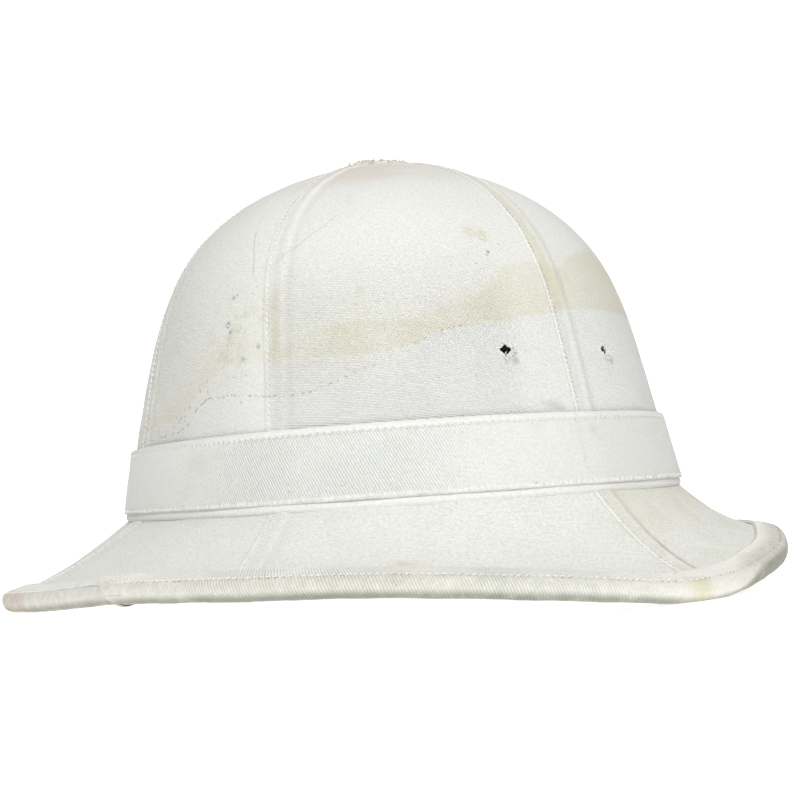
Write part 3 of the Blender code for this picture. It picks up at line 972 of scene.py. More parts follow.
def crown_seams(paint, at, base, colours):
    """Seams: yellowed allowance, painted shade in the valleys beside it and under the neighbour's fold, and
    a worn fold with a painted highlight.
    """
    angle, height, left, patchy = at.angle, at.height, at.left, at.patchy
    strip = left.between(0.8, 1.6) * left.between(4.8, 7.0, 1.0, 0.0)
    yellowed = strip * height.between(58, 66) * angle.near(3.0, 12.0)
    base = paint.mix(yellowed * patchy.between(0.25, 0.60, 0.24, 0.46), base, SEAM_YELLOW)
    side_strip = strip * angle.near(-62.0, 8.0) * height.between(46, 52)
    side_strip = side_strip * height.between(66, 78, 1.0, 0.0)
    base = paint.mix(side_strip * patchy.between(0.35, 0.60) * 0.42, base, SIDE_SEAM_YELLOW)
    # Painted shade in the valleys on both sides of the allowance's ridge
    base = paint.mix(left.near(8.8, 2.4) * 0.26 + left.near(3.4, 2.0) * 0.16, base, colours.grey)
    front = angle.near(0.0, 12.0)
    # Speckled brown in the stitched groove of the front seam
    groove = left.near(1.15, 0.95) * front * at.dots.between(0.34, 0.56)
    groove = groove * height.between(60, 72, 0.26, 0.44) * height.between(92, 110, 1.0, 0.35)
    base = paint.mix(groove, base, STITCH_GROOVE_BROWN)
    shade = at.right.between(0.0, 1.4, 1.0, 0.0) * (0.42 - front * 0.30)
    base = paint.mix(shade, base, SEAM_SHADE)
    # Lighter at the fold's edge: worn cloth, and a painted highlight
    return paint.mix(left.near(0.10, 0.45) * 0.60, base, WORN_FOLD_AND_HIGHLIGHT)


def crown_ends(paint, at, base, colours):
    """Soil round the vent, painted shade on the top of the crown, a painted highlight on the seams' ridges
    up there, and painted shade just over the band.
    """
    height = at.height
    warm = paint.noise(at.where, 0.030, 4.0, 0.65, 21.0)
    vent = height.between(111, 119) * warm.between(0.30, 0.62) * at.angle.near(-42.0, 62.0)
    base = paint.mix(vent * 0.40, base, VENT_SOIL)
    # Painted shade, darker towards the top of the crown
    base = paint.mix(height.between(104, 124) * 0.16, base, colours.grey)
    # Painted highlight on the ridges of the seams near the top
    base = paint.mix(at.left.near(6.0, 2.0) * height.between(92, 118) * 0.50, base, RIDGE_HIGHLIGHT)
    # Painted shade just over the band, under its top edge
    return paint.mix(height.between(26.0, 30, 1.0, 0.0) * 0.10, base, colours.grey)


def brim_cloth(sizes, colours):
    """Finer cotton of the brim: grain, soil by the band and the seams, painted shade in its rib valleys and
    beside the seams, and a painted highlight on the folds.
    """
    paint = Paint("brim_cotton")
    s, t = paint.map("cloth")
    angle, share = paint.map("place")
    left, right = paint.map("edge")
    angle = angle * PLACE_ANGLE
    left, right = left * (EDGE_REACH / MM), right * (EDGE_REACH / MM)
    where = paint.object_place()
    across, along = along_ribs(s, t, -30.0)
    rib, dash = twill(paint, across, along, sizes.rib_pitch * 0.9, 0.9, 4.0)
    grain = paint.noise(paint.vector(s, t * 1.3), 0.00125, 2.5, 0.75, 5.0)
    fine = paint.noise(where, 0.0030, 4.0, 0.75, 74.0)
    clouds = paint.noise(where, 0.030, 4.0, 0.62, 14.0)
    warm = paint.noise(where, 0.016, 4.0, 0.65, 24.0)
    dots = paint.noise(where, 0.0028, 3.0, 0.7, 54.0)
    broken = dots.between(0.38, 0.56)
    base = paint.mix(clouds.between(0.46, 0.80) * 0.07, colours.cloth, colours.grey)
    base = paint.mix(warm.between(0.45, 0.75) * 0.08, base, colours.yellow)
    worn = paint.noise(where, 0.011, 5.0, 0.70, 84.0).between(0.49, 0.55)
    worn = worn * (angle.between(-4, 1) * angle.between(60, 150, 0.20, 0.0) + 0.10)
    base = paint.mix(worn, base, BRIM_YELLOW)
    # Grain, and painted shade in the valleys of the ribs
    base = paint.mix(grain.between(0.36, 0.66) * 0.40 + (1 - rib) * dash * 0.10, base, colours.grey)
    fading = angle.between(60, 150, 1.0, 0.0)
    soiled_side = angle.between(-2, 3) * fading
    near_band = share.between(0.05, 0.55, 1.0, 0.0)
    base = paint.mix(near_band * soiled_side * (warm * 0.8 + 0.2) * 0.46, base, BAND_SOIL)
    by_seam = left.between(6.0, 19.0, 1.0, 0.0) * soiled_side
    by_seam = by_seam * left.between(6.5, 8.5, 0.08, 0.24) * (warm * 0.8 + 0.4)
    base = paint.mix(by_seam, base, SEAM_SOIL)
    blot = angle.near(-38.5, 2.6) * share.between(0.56, 0.66)
    base = paint.mix(blot * warm.between(0.34, 0.60) * 0.50, base, BRIM_BLOT)
    front = angle.near(6.0, 14.0)
    # A brown line along the valley beside each seam, strongest at the front
    valley = left.near(7.9, 1.6) * (broken * 0.6 + 0.4)
    valley = valley * (0.06 + front * 0.70 * share.between(0.10, 0.50))
    base = paint.mix(valley, base, colours.brown)
    # Speckled brown in the stitched groove of the front seam
    groove = left.near(1.15, 0.95) * front * broken
    base = paint.mix(groove * 0.40, base, STITCH_GROOVE_BROWN)
    shade = right.between(0.0, 1.4, 1.0, 0.0) * (0.50 - front * 0.40)
    base = paint.mix(shade, base, BRIM_SEAM_SHADE)
    # Painted shade in the valleys on both sides of the allowance's ridge
    base = paint.mix(left.near(8.8, 2.6) * 0.18 + left.near(3.4, 2.0) * 0.12, base, colours.grey)
    # Lighter at the fold's edge: worn cloth, and a painted highlight
    base = paint.mix(left.near(0.10, 0.45) * 0.60, base, WORN_FOLD_AND_HIGHLIGHT)
    rust = (share + angle.between(0, 30, 0.0, RUST_DRIFT)).between(RUST_SHARE - 0.035, RUST_SHARE)
    rust = rust * (angle.between(-12, 6) * angle.between(40, 120, 0.9, 0.0) + 0.10)
    rust = rust * (broken * 0.4 + 0.6)
    base = paint.mix(rust * 0.85, base, RUST)
    specks = paint.noise(where, 0.0020, 1.0, 0.5, 64.0).between(0.74, 0.80)
    base = paint.mix(specks * 0.30, base, colours.brown)
    relief = rib * 0.22 + dash * 0.16 + grain * 1.0 + fine * 0.55
    return paint.finish(base, clouds.between(0.3, 0.7, 0.84, 0.94), relief, 0.00032)


def band_twill(sizes, colours):
    """Twill of the hat band: steep ribs, a puffed edge, a few stains, and painted shade in its rib valleys,
    at its rolled edges, by its stitches and on its sides.
    """
    paint = Paint("band_twill_cloth")
    s, t = paint.map("cloth")
    angle, height = paint.map("place")
    angle, height = angle * PLACE_ANGLE, height * PLACE_MM
    where = paint.object_place()
    across, along = along_ribs(s, t, -64.0)
    rib, dash = twill(paint, across, along, sizes.rib_pitch, 0.35, 2.0)
    across, along = along_ribs(s, t, -44.0)
    flat, _ = twill(paint, across, along, sizes.rib_pitch * 0.71, 0.5, 2.5)
    grain = paint.noise(paint.vector(s, t), 0.00120, 2.5, 0.72, 6.0)
    clouds = paint.noise(where, 0.025, 4.0, 0.62, 15.0)
    warm = paint.noise(where, 0.012, 4.0, 0.65, 25.0)
    patches = paint.noise(where, 0.020, 2.0, 0.6, 9.0).between(0.25, 0.60, 0.80, 1.0)
    sewn = height.between(3.6, 4.6) * height.between(23.6, 24.6, 1.0, 0.0)
    sewn = sewn * (angle.between(-90, -66, 0.15, 1.0) + angle.between(-170, -120, 0.85, 0.0))
    strong = patches * sewn * (angle.between(-42, -12, 1.0, 0.30) + angle.between(60, 150, 0.0, 0.70))
    valley = (1 - rib).power(2.0) * (dash * 0.4 + 0.6)
    base = paint.mix(clouds.between(0.46, 0.80) * 0.09, colours.band, colours.grey)
    base = paint.mix(warm.between(0.48, 0.76) * 0.10, base, colours.yellow)
    # Painted shade in the valleys of the steep and of the flat ribs
    base = paint.mix(valley * strong * 0.68, base, BAND_RIB_SHADE)
    base = paint.mix((1 - flat) * sewn * (1 - strong) * 0.30, base, colours.grey)
    base = paint.mix(grain.between(0.36, 0.66) * 0.22, base, colours.grey)
    roll = height.near(2.9, 0.9)
    base = paint.mix(roll * warm.between(0.45, 0.70) * 0.30, base, colours.brown)
    base = paint.mix(height.near(26.6, 0.7) * warm * 0.16, base, colours.brown)
    # Painted shade on the rolled top edge
    base = paint.mix(height.near(26.0, 1.4) * 0.20, base, colours.grey)
    # Painted shade in the stitched groove and in the gaps between the stitches
    gaps = (s * (2 * math.pi / sizes.stitch_pitch)).sine().between(0.0, 0.7)
    base = paint.mix(height.near(24.2, 1.2) * 0.16, base, colours.grey)
    base = paint.mix(gaps * height.near(24.2, 0.8) * 0.34, base, STITCH_GAP_SHADE)
    # Painted shade under the rolled foot of the band
    base = paint.mix(height.near(2.6, 0.6) * 0.26, base, colours.grey)
    # Painted shade on the band's sides, where it turns away from the light
    painted_turning_shade = angle.between(-92, -64, 0.14, 0.0) + angle.between(-2, 6, 0.0, 0.14)
    base = paint.mix(painted_turning_shade, base, colours.grey)
    worn = angle.near(-84.0, 13.0) * height.between(5, 10) * height.between(18, 25, 1.0, 0.0)
    base = paint.mix(worn * warm.between(0.30, 0.66) * 0.20, base, BAND_WEAR)
    # Painted shade in the crease
    crease = angle.near(-1.2, 0.8) * height.between(5, 8) * 0.16
    base = paint.mix(crease, base, colours.grey)
    base = spots(paint, base, angle, height, (
        (2.2, 20.5, 2.4, 0.30), (3.6, 17.5, 1.6, 0.22), (-60, 9.0, 1.6, 0.14),
        (-47, 19, 1.4, 0.12), (120, 12, 3.2, 0.25), (-140, 18, 2.8, 0.25)),
        BAND_SPOT, warm.between(0.35, 0.60), 1.7)
    specks = paint.noise(where, 0.0020, 1.0, 0.5, 62.0).between(0.75, 0.80)
    base = paint.mix(specks * 0.28, base, colours.brown)
    relief = rib * strong * 0.9 + flat * sewn * (1 - strong) * 0.45 + dash * sewn * 0.15 + grain * 1.1
    return paint.finish(base, clouds.between(0.3, 0.7, 0.80, 0.90), relief, 0.00024)


def binding_twill(sizes, colours):
    """Twill of the binding: ribs that turn over the edge, rust-brown dirt along its laps, and painted shade
    on its outer face and underside.
    """
    paint = Paint("binding_twill_cloth")
    s, t = paint.map("cloth")
    angle, depth = paint.map("place")
    angle, depth = angle * PLACE_ANGLE, depth * BINDING_GIRTH
    where = paint.object_place()
    across, along = along_ribs(s, t, -67.0)
    rib, dash = twill(paint, across, along, sizes.rib_pitch, 0.40, 3.0)
    grain = paint.noise(paint.vector(s, t), 0.00120, 2.5, 0.72, 7.0)
    clouds = paint.noise(where, 0.022, 4.0, 0.62, 16.0)
    warm = paint.noise(where, 0.010, 4.0, 0.68, 26.0)
    broken = paint.noise(where, 0.0030, 4.0, 0.7, 56.0)
    patches = paint.noise(where, 0.016, 2.0, 0.6, 19.0).between(0.25, 0.60, 0.60, 1.0)
    ribbed = angle.between(-76, -62, 0.50, 1.0) + angle.between(-170, -120, 0.50, 0.0)
    ribbed = ribbed * (1 - angle.between(-26, 6) * angle.between(60, 150, 0.70, 0.0))
    strong = patches * ribbed
    base = paint.mix(clouds.between(0.44, 0.78) * 0.18, colours.binding, colours.grey)
    base = paint.mix(warm.between(0.45, 0.76) * 0.20, base, colours.yellow)
    base = paint.mix((1 - rib).power(2.0) * strong * 0.70, base, BINDING_RIB_SHADE)
    base = paint.mix(grain.between(0.36, 0.66) * 0.20, base, colours.grey)
    # The depth is the distance in mm round the section, from its inner edge on top
    right_side = angle.between(-14, 6, 0.30, 1.0) * angle.between(70, 150, 1.0, 0.30)
    inner = depth.near(2.55, 0.85) * (broken.between(0.34, 0.60) * 0.4 + 0.6)
    base = paint.mix(inner * right_side * 0.80, base, INNER_RUST)
    fading = angle.between(60, 150, 1.0, 0.0)
    front_tip = angle.between(5, 14) * fading
    # Greenish painted shade where the binding's outer face turns down, strongest at the front tip
    greenish = (depth + front_tip * 4.4).between(8.0, 13.5)
    greenish = greenish * (broken.between(0.30, 0.62) * 0.5 + 0.5)
    greenish = greenish * (1 - angle.between(-16, -4) * fading * 0.40 + front_tip * 0.80)
    base = paint.mix(greenish * 0.46, base, GREENISH_SHADE)
    # Dark painted shade along the underside of the binding
    low = front_tip * 4.6 - angle.between(-8.0, 2.0) * fading * 0.8
    bottom = (depth + low).between(15.8, 18.6) * warm.between(0.20, 0.55, 0.5, 1.0)
    base = paint.mix(bottom * 0.70, base, UNDERSIDE_SHADE)
    blot = angle.near(-1.2, 3.2) * depth.between(8.0, 12.0)
    base = paint.mix(blot * warm.between(0.30, 0.58) * 0.50, base, TIP_BLOT)
    rosy = angle.between(-63, -40) * angle.between(-36, -28, 1.0, 0.0) * depth.near(13.5, 2.6)
    base = paint.mix(rosy * warm.between(0.42, 0.66) * 0.26, base, ROSY_SOIL)
    tip = angle.between(-108, -96, 1.0, 0.0) * angle.between(-150, -120)
    far = angle.between(26, 44) * angle.between(80, 120, 1.0, 0.0)
    ends = (tip + far * 0.4) * depth.between(8.0, 13.0) * warm.between(0.30, 0.60) * 0.50
    base = paint.mix(ends, base, END_RUST)
    specks = paint.noise(where, 0.0020, 1.0, 0.5, 67.0).between(0.73, 0.79)
    base = paint.mix(specks * 0.36, base, colours.brown)
    relief = rib * strong * 0.80 + dash * 0.20 + grain * 1.1
    return paint.finish(base, clouds.between(0.3, 0.7, 0.82, 0.92), relief, 0.00018)


def plain_cloth(name, base_colour, dirt, grain_size, depth, patchiness):
    """A plain old cloth or thread, in its colour with cloudy soil and a fine grain."""
    paint = Paint(name)
    where = paint.object_place()
    clouds = paint.noise(where, 0.012, 4.0, 0.65, 17.0)
    grain = paint.noise(where, grain_size, 3.0, 0.6, 27.0)
    base = paint.mix(clouds.between(0.38, 0.76) * patchiness, base_colour, dirt)
    base = paint.mix(grain.between(0.40, 0.68) * patchiness * 0.45, base, dirt)
    return paint.finish(base, clouds.between(0.3, 0.7, 0.84, 0.94), grain, depth)


def white_thread(colours):
    """Clean sewing thread, also pulled out of the cloth."""
    if "white_thread" in bpy.data.materials:
        return bpy.data.materials["white_thread"]
    return plain_cloth("white_thread", colours.thread, colours.grey, 0.0008, 0.0001, 0.30)


def frayed_cotton(colours):
    """Raw, brown-soiled cloth and threads of the vent's rim."""
    if "frayed_cotton" in bpy.data.materials:
        return bpy.data.materials["frayed_cotton"]
    return plain_cloth("frayed_cotton", colours.fray, colours.brown, 0.0024, 0.0006, 0.72)


def lining_cloth(colours):
    """Plain cotton lining with an even, square weave."""
    paint = Paint("lining_cotton")
    s, t = paint.map("cloth")
    where = paint.object_place()
    pitch = 2 * math.pi / 0.0011
    weave = (s * pitch).sine() * (t * pitch).sine() * 0.5 + 0.5
    clouds = paint.noise(where, 0.035, 4.0, 0.62, 18.0)
    grain = paint.noise(where, 0.0010, 3.0, 0.6, 28.0)
    base = paint.mix(clouds.between(0.40, 0.76) * 0.45, colours.lining, colours.grey)
    base = paint.mix(weave * 0.12 + grain.between(0.4, 0.7) * 0.12, base, colours.grey)
    # The shell's raw edge round each badge hole is painted near black, as painted shade inside the hole
    for hole in BADGE_HOLES:
        centre = tuple(hole_frame(hole)[0])
        away = paint.node("VectorMath", {"operation": "DISTANCE"}, {0: where, 1: centre}, 1)
        base = paint.mix(away.between(0.0040, 0.0043, 1.0, 0.0), base, NEAR_BLACK_HOLE_SHADE)
    return paint.finish(base, clouds.between(0.3, 0.7, 0.86, 0.95), weave * 0.6 + grain * 0.4, 0.00016)


# Cloth covers


def row_places(surface, shares, seams):
    """How the angle goes with the distance along each row between two seams."""
    fan = shares[:, None] if surface is brim_surface else 0 * shares[:, None]
    first = seams[0][0] + (seams[0][1] - seams[0][0]) * fan
    last = seams[1][0] + (seams[1][1] - seams[1][0]) * fan
    angles = first + (last - first) * np.linspace(0, 1, 160)[None, :]
    points = surface(angles, np.broadcast_to(shares[:, None], angles.shape))
    return angles, length_along(points.swapaxes(0, 1)).T


def lap_squeeze(width):
    """How much the two laps of a panel narrow, as a share, where the panel is narrow."""
    return np.minimum(1, LAP_SHARE * width / LAP_REACH)


def angle_at(angles, length, distance):
    """Angle at a distance along each row, also a little past its two seams."""
    result = np.empty_like(distance)
    for row in range(len(angles)):
        known, places, wanted = length[row], angles[row], distance[row]
        slope = (places[-1] - places[0]) / known[-1]
        result[row] = np.interp(wanted, known, places)
        result[row] += np.minimum(wanted, 0) * slope + np.maximum(wanted - known[-1], 0) * slope
    return result


def middle_parts(width, dense=None):
    """Places of the columns between the seams' own, as shares, closer together round a hole."""
    count = max(6, round(width / COVER_SPACING))
    parts = np.linspace(0, 1, count + 1)[1:-1]
    if dense is None:
        return parts
    centre, reach = dense
    parts = parts[np.abs(parts - centre) > reach + 0.4 / count]
    close = np.linspace(centre - reach, centre + reach, COVER_FINE_COLUMNS)
    return np.sort(np.concatenate((parts, close)))


def cover(name, surface, number, shares, sizes):
    """Grid of one cloth cover between two seams, with its folds, puckers and UV maps."""
    seams = SEAMS[number:number + 2]
    holes = [hole for hole in BADGE_HOLES if surface is crown_surface and hole[0] == name]
    fold = smooth_profile(LAP_FOLD, FOLD_STEP)
    under = smooth_profile(LAP_UNDER, UNDER_STEP)
    if holes:
        hole_share = holes[0][2] / CROWN_RISE
        shares = finer_near_hole(shares, hole_share, COVER_FINE_ROWS)
    angles, length = row_places(surface, shares, seams)
    width = length[:, -1:]
    squeeze = lap_squeeze(width)
    starts = fold[None, :, 0] * MM * squeeze
    ends = width - under[None, :, 0] * MM * squeeze
    dense = None
    if holes:
        row = int(np.argmin(np.abs(shares - hole_share)))
        place = np.interp(holes[0][1] % 360, angles[row], length[row])
        span = ends[row, 0] - starts[row, -1]
        dense = ((place - starts[row, -1]) / span, COVER_FINE_REACH / span)
    parts = middle_parts(width.max() - LAP_REACH, dense)
    middle = starts[:, -1:] + (ends[:, :1] - starts[:, -1:]) * parts[None, :]
    distance = np.concatenate((starts, middle, ends), axis=1)
    lift = np.concatenate((
        np.broadcast_to(fold[None, :, 1], starts.shape),
        np.zeros_like(middle),
        np.broadcast_to(under[None, :, 1], ends.shape),
    ), axis=1) * MM * np.minimum(1, squeeze + 0.25)

    degrees = angle_at(angles, length, distance)
    share_grid = np.broadcast_to(shares[:, None], degrees.shape)
    base, _, _, normal = frame_on(surface, degrees, share_grid)
    along = length_along(base)
    seam_length = along[:, len(fold) - 1]
    if surface is brim_surface:
        seam_length = seam_length[-1] - seam_length
    beat = np.cos(seam_length / sizes.seam_pitch * 2 * math.pi)[:, None]
    pull = bulge(distance, SEAM_STITCH_PLACE * MM, 0.9 * MM)
    ridge = bulge(distance, 0.3 * MM, 0.5 * MM) * 0.2
    lift = lift - sizes.pucker * beat * (pull - ridge) * (distance < 5 * MM) * squeeze
    crimp = bulge(distance, 4.5 * MM, 3.5 * MM)
    lift += crimp * uneven(base, sizes.seed + 3, 0.004, 0.009) * 0.00010 * squeeze
    lift += uneven(base, sizes.seed, 0.020, 0.060) * sizes.unevenness * 0.5
    lift += uneven(base, sizes.seed + 1, 0.007, 0.016) * sizes.unevenness * 0.16
    points = base + normal * lift[..., None]

    rows, columns = degrees.shape
    # The laps of the rear panels reach past the back seam, where the angle may not jump
    turn = {"rear_left": degrees, "rear_right": degrees - 360}.get(name, wrapped(degrees))
    if surface is crown_surface:
        height = (base[..., 2] - NECK_Z) / PLACE_HEIGHT
    else:
        height = share_grid
    middle_line = along[:, columns // 2]
    level = middle_line - (middle_line[-1] if surface is brim_surface else 0)
    maps = {
        "cloth": np.stack((distance - width / 2, np.broadcast_to(level[:, None], distance.shape)), -1),
        "place": np.stack((turn / PLACE_ANGLE, height), -1),
        "edge": np.clip(np.stack((distance, width - distance), -1) / EDGE_REACH, -0.2, 1),
    }
    maps = {label: values.reshape(-1, 2) for label, values in maps.items()}
    points, faces = points.reshape(-1, 3), grid_faces(rows, columns)
    flat_area = float(np.sum((width[:-1, 0] + width[1:, 0]) / 2 * np.diff(middle_line)))
    extent = (float(width.max()), float(abs(middle_line[-1] - middle_line[0])))
    for hole in holes:
        points, faces, copies = pierce(points, faces, hole, HOLE_LIP)
        maps = {label: values[copies] for label, values in maps.items()}
    return points, faces, maps, extent, flat_area


def make_covers(kind, surface, fineness, material, sizes):
    """The six covers of the crown or of the brim."""
    for number, name in enumerate(PANELS):
        middle = (SEAMS[number][0] + SEAMS[number + 1][0]) / 2
        if surface is crown_surface:
            shares = even_shares(surface, middle, fineness, CLEARANCE / CROWN_RISE)
        else:
            shares = np.linspace(1, 0, math.ceil(BRIM_WIDTH / fineness))
        points, faces, maps, extent, area = cover(name, surface, number, shares, sizes)
        node = f"{kind}_panel_{name}"
        piece = add_piece(f"{kind}_cover_{name}", points, faces, maps, material, [node])
        extent[0] + 2 * HEM
        min(area + 2 * HEM * extent[1], (extent[0] + 2 * HEM) * extent[1])


def stitch_marks(places, stitched):
    """How deep stitches pull the cloth in, and how it puffs up beside them, at places in mm."""
    return bulge(places, stitched, 0.75), bulge(places, stitched + 1.5, 0.8)


def columns_round(radius, spacing):
    """How many columns a strip round the hat takes."""
    return round(2 * math.pi * radius / spacing)


def sunk_end(degrees):
    """0 along a strip, rising to 1 where its last end runs under its first."""
    return np.clip((degrees - degrees[0] - 358) / 3, 0, 1)[None, :]


def strip_maps(across, length, turn, height):
    """UV maps of a strip, all spread over its grid."""
    grid = np.broadcast_shapes(across.shape, length.shape, turn.shape)
    pairs = {"cloth": (length, across), "place": (turn / PLACE_ANGLE, height)}
    return {label: np.stack([np.broadcast_to(values, grid) for values in pair], -1)
            for label, pair in pairs.items()}


def make_strip(name, section, spacing, join, stitch_heights, seed, sizes, material, node):
    """Strip of cloth round the foot of the crown, whose ends lap."""
    profile = smooth_profile(section, STRIP_STEP)
    height = profile[:, 0:1]
    degrees = join + np.linspace(0, STRIP_TURN, columns_round(CROWN_GIRTH_RADIUS, spacing))
    grid = (len(profile), len(degrees))
    angles = np.broadcast_to(degrees[None, :], grid)
    base, _, _, normal = frame_on(crown_surface, angles, height * MM / CROWN_RISE)
    base[..., 2] += np.minimum(height * MM, 0)
    length = length_along(base[0])
    lift = np.broadcast_to(profile[:, 1:2] * MM, grid).copy()
    beat = np.cos(length / sizes.stitch_pitch * 2 * math.pi)[None, :]
    facing = profile[:, 1:2] > 1.5
    for place in stitch_heights:
        pull, puff = stitch_marks(height, place)
        # Only the stitches at the band's head puff it up
        lift -= sizes.pucker * beat * facing * (pull - 0.45 * puff * (place > 10))
    lift += uneven(base, seed, 0.018, 0.050) * sizes.unevenness * 0.40
    lift += uneven(base, seed + 1, 0.004, 0.010) * sizes.unevenness * 0.13
    lift += bulge(length, 0, 5 * MM)[None, :] * JOIN_LIFT - sunk_end(degrees) * JOIN_SINK
    points = base + normal * lift[..., None]
    across = length_along(profile) * MM
    maps = strip_maps(across[:, None], length[None, :], wrapped(degrees)[None, :],
                      height * MM / PLACE_HEIGHT)
    piece = add_piece(name, points, grid_faces(*grid), maps, material, [node])


def binding_points(degrees, profile, lifts=0.0):
    """Points over the brim's edge for a section given as (distance in, height) in mm."""
    inward, lift = profile[..., 0] * MM, profile[..., 1] * MM + lifts
    share = 1 - np.maximum(inward, 0) / brim_width(degrees)
    point, _, upward, normal = frame_on(brim_surface, degrees, share)
    return point + normal * lift[..., None] + upward * np.minimum(inward, 0)[..., None]


def make_binding(sizes, material):
    """Twill folded over the brim's edge, whose ends lap on the wearer's right."""
    profile = smooth_profile(BINDING_SECTION, STRIP_STEP)
    columns = columns_round(BRIM_GIRTH_RADIUS, BINDING_SPACING)
    angles = BINDING_JOIN + np.linspace(0, BINDING_TURN, columns)
    across = length_along(profile)
    grid = (len(profile), columns)
    # The join leans along the edge
    lean = np.clip(across / 12.0, 0, 1.6)[:, None] * BINDING_JOIN_SLANT
    near_ends = bulge(angles, angles[0], 6) + bulge(angles, angles[-1], 6)
    degrees = np.broadcast_to(angles[None, :], grid) + lean * near_ends[None, :]
    shape = np.broadcast_to(profile[:, None, :], (*grid, 2))
    base = binding_points(degrees, shape)
    length = length_along(base[len(profile) // 2])
    beat = np.cos(length / sizes.stitch_pitch * 2 * math.pi)[None, :]
    lift = np.zeros(grid)
    inward = profile[:, 0:1]
    upper, lower = profile[:, 1:2] > 0.9, profile[:, 1:2] < -5.2
    for side, facing, (place, _) in zip((1, -1), (upper, lower), BINDING_STITCHES):
        pull, puff = stitch_marks(inward, place)
        lift -= side * sizes.pucker * beat * facing * (pull - 0.4 * puff)
    facing_up = np.where(profile[:, 1:2] > -2.15, 1.0, -1.0)
    lift += facing_up * uneven(base, sizes.seed + 9, 0.012, 0.040) * sizes.unevenness * 0.40
    lift += facing_up * uneven(base, sizes.seed + 10, 0.004, 0.009) * sizes.unevenness * 0.18
    lift += facing_up * bulge(length, 0, 6 * MM)[None, :] * JOIN_LIFT
    folded_end = bulge(length, 7 * MM, 3 * MM)[None, :] * bulge(inward, 8.2, 1.2)
    lift += folded_end * upper * JOIN_LIFT
    lift -= facing_up * sunk_end(angles) * JOIN_SINK
    points = binding_points(degrees, shape, lift)
    points[..., 2] = np.maximum(points[..., 2], FLOOR_GAP)
    maps = strip_maps(-across[:, None] * MM, length[None, :], wrapped(degrees),
                      across[:, None] / BINDING_GIRTH)
    piece = add_piece("edge_binding", points, grid_faces(*grid)[:, ::-1], maps, material,
                      ["brim_binding"])


# Stitches and threads


class Threads:
    """A Geometry Nodes tree being put together, which lays a thread on each of its points."""

    def __init__(self, name, sizes):
        self.tree = bpy.data.node_groups.new(name, "GeometryNodeTree")
        self.socket("Geometry", "Geometry")
        for label, value in sizes:
            self.socket(label, "Float").default_value = value
        self.socket("Seed", "Int")
        self.socket("Thread", "Material")
        self.socket("Geometry", "Geometry", "OUTPUT")
        self.given = self.node("NodeGroupInput").outputs

    def socket(self, label, kind, direction="INPUT"):
        return self.tree.interface.new_socket(
            label, in_out=direction, socket_type="NodeSocket" + kind)

    def node(self, kind, settings=None, inputs=None):
        """Adds a node: its settings first, then the values and links of its sockets."""
        made = self.tree.nodes.new(kind)
        for key, value in (settings or {}).items():
            setattr(made, key, value)
        for key, value in (inputs or {}).items():
            if isinstance(value, bpy.types.NodeSocket):
                self.tree.links.new(value, made.inputs[key])
            else:
                made.inputs[key].default_value = value
        return made

    def work_out(self, operation, first, second):
        return self.node("ShaderNodeMath", {"operation": operation}, {0: first, 1: second}).outputs[0]

    def triple(self, x, y, z):
        return self.node("ShaderNodeCombineXYZ", None, {0: x, 1: y, 2: z}).outputs[0]

    def chance(self, low, high):
        """A seeded number between two, another at each point."""
        return self.node("FunctionNodeRandomValue", {"data_type": "FLOAT"}, {
            "Min": low, "Max": high, "Seed": self.given["Seed"]}).outputs[1]

    def out_of_cloth(self):
        return self.node("GeometryNodeInputNamedAttribute", {"data_type": "FLOAT_VECTOR"}, {
            "Name": "out"}).outputs["Attribute"]

    def turned(self, rotation, more):
        """A rotation after one more in its own axes."""
        return self.node("FunctionNodeRotateRotation", {"rotation_space": "LOCAL"}, {
            "Rotation": rotation, "Rotate By": more}).outputs[0]

    def finish(self, points, thread, rotation, scale):
        """Lays the threads, makes them plain mesh and dyes them."""
        smooth = self.node("GeometryNodeSetShadeSmooth", None, {"Geometry": thread})
        laid = self.node("GeometryNodeInstanceOnPoints", None, {
            "Points": points, "Instance": smooth.outputs[0], "Rotation": rotation, "Scale": scale})
        real = self.node("GeometryNodeRealizeInstances", None, {"Geometry": laid.outputs[0]})
        dyed = self.node("GeometryNodeSetMaterial", None, {
            "Geometry": real.outputs[0], "Material": self.given["Thread"]})
        end = self.node("NodeGroupOutput")
        self.tree.links.new(dyed.outputs[0], end.inputs[0])
        return self.tree


def sewing_tree():
    """Stitches along paths: a short thread on each step, laid along the path."""
    threads = Threads("stitches_on_paths", (
        ("Pitch", 0.0026), ("Length", 0.0021), ("Thickness", 0.00068), ("Slant", 0.2),
        ("Unevenness", 0.12)))
    given, node = threads.given, threads.node
    path = node("GeometryNodeMeshToCurve", None, {"Mesh": given["Geometry"]})
    even = node("GeometryNodeResampleCurve", {"mode": "LENGTH"}, {
        "Curve": path.outputs[0], "Length": given["Pitch"]})
    ball = node("GeometryNodeMeshUVSphere", None, {"Segments": 6, "Rings": 5, "Radius": 0.5})
    size = threads.triple(given["Thickness"], given["Thickness"], given["Length"])
    shaped = node("GeometryNodeTransform", None, {"Geometry": ball.outputs["Mesh"], "Scale": size})
    tangent = node("GeometryNodeInputTangent")
    laid = node("FunctionNodeAlignRotationToVector", {"axis": "Z"}, {"Vector": tangent.outputs[0]})
    faced = node("FunctionNodeAlignRotationToVector", {"axis": "X", "pivot_axis": "Z"}, {
        "Rotation": laid.outputs[0], "Vector": threads.out_of_cloth()})
    slant = threads.work_out("ADD", given["Slant"], threads.chance(-0.10, 0.10))
    slanted = node("FunctionNodeAxisAngleToRotation", None, {"Axis": (1.0, 0.0, 0.0), "Angle": slant})
    small = threads.work_out("SUBTRACT", 1.0, given["Unevenness"])
    large = threads.work_out("ADD", 1.0, given["Unevenness"])
    return threads.finish(
        even.outputs[0], shaped.outputs[0], threads.turned(faced.outputs[0], slanted.outputs[0]),
        threads.chance(small, large))


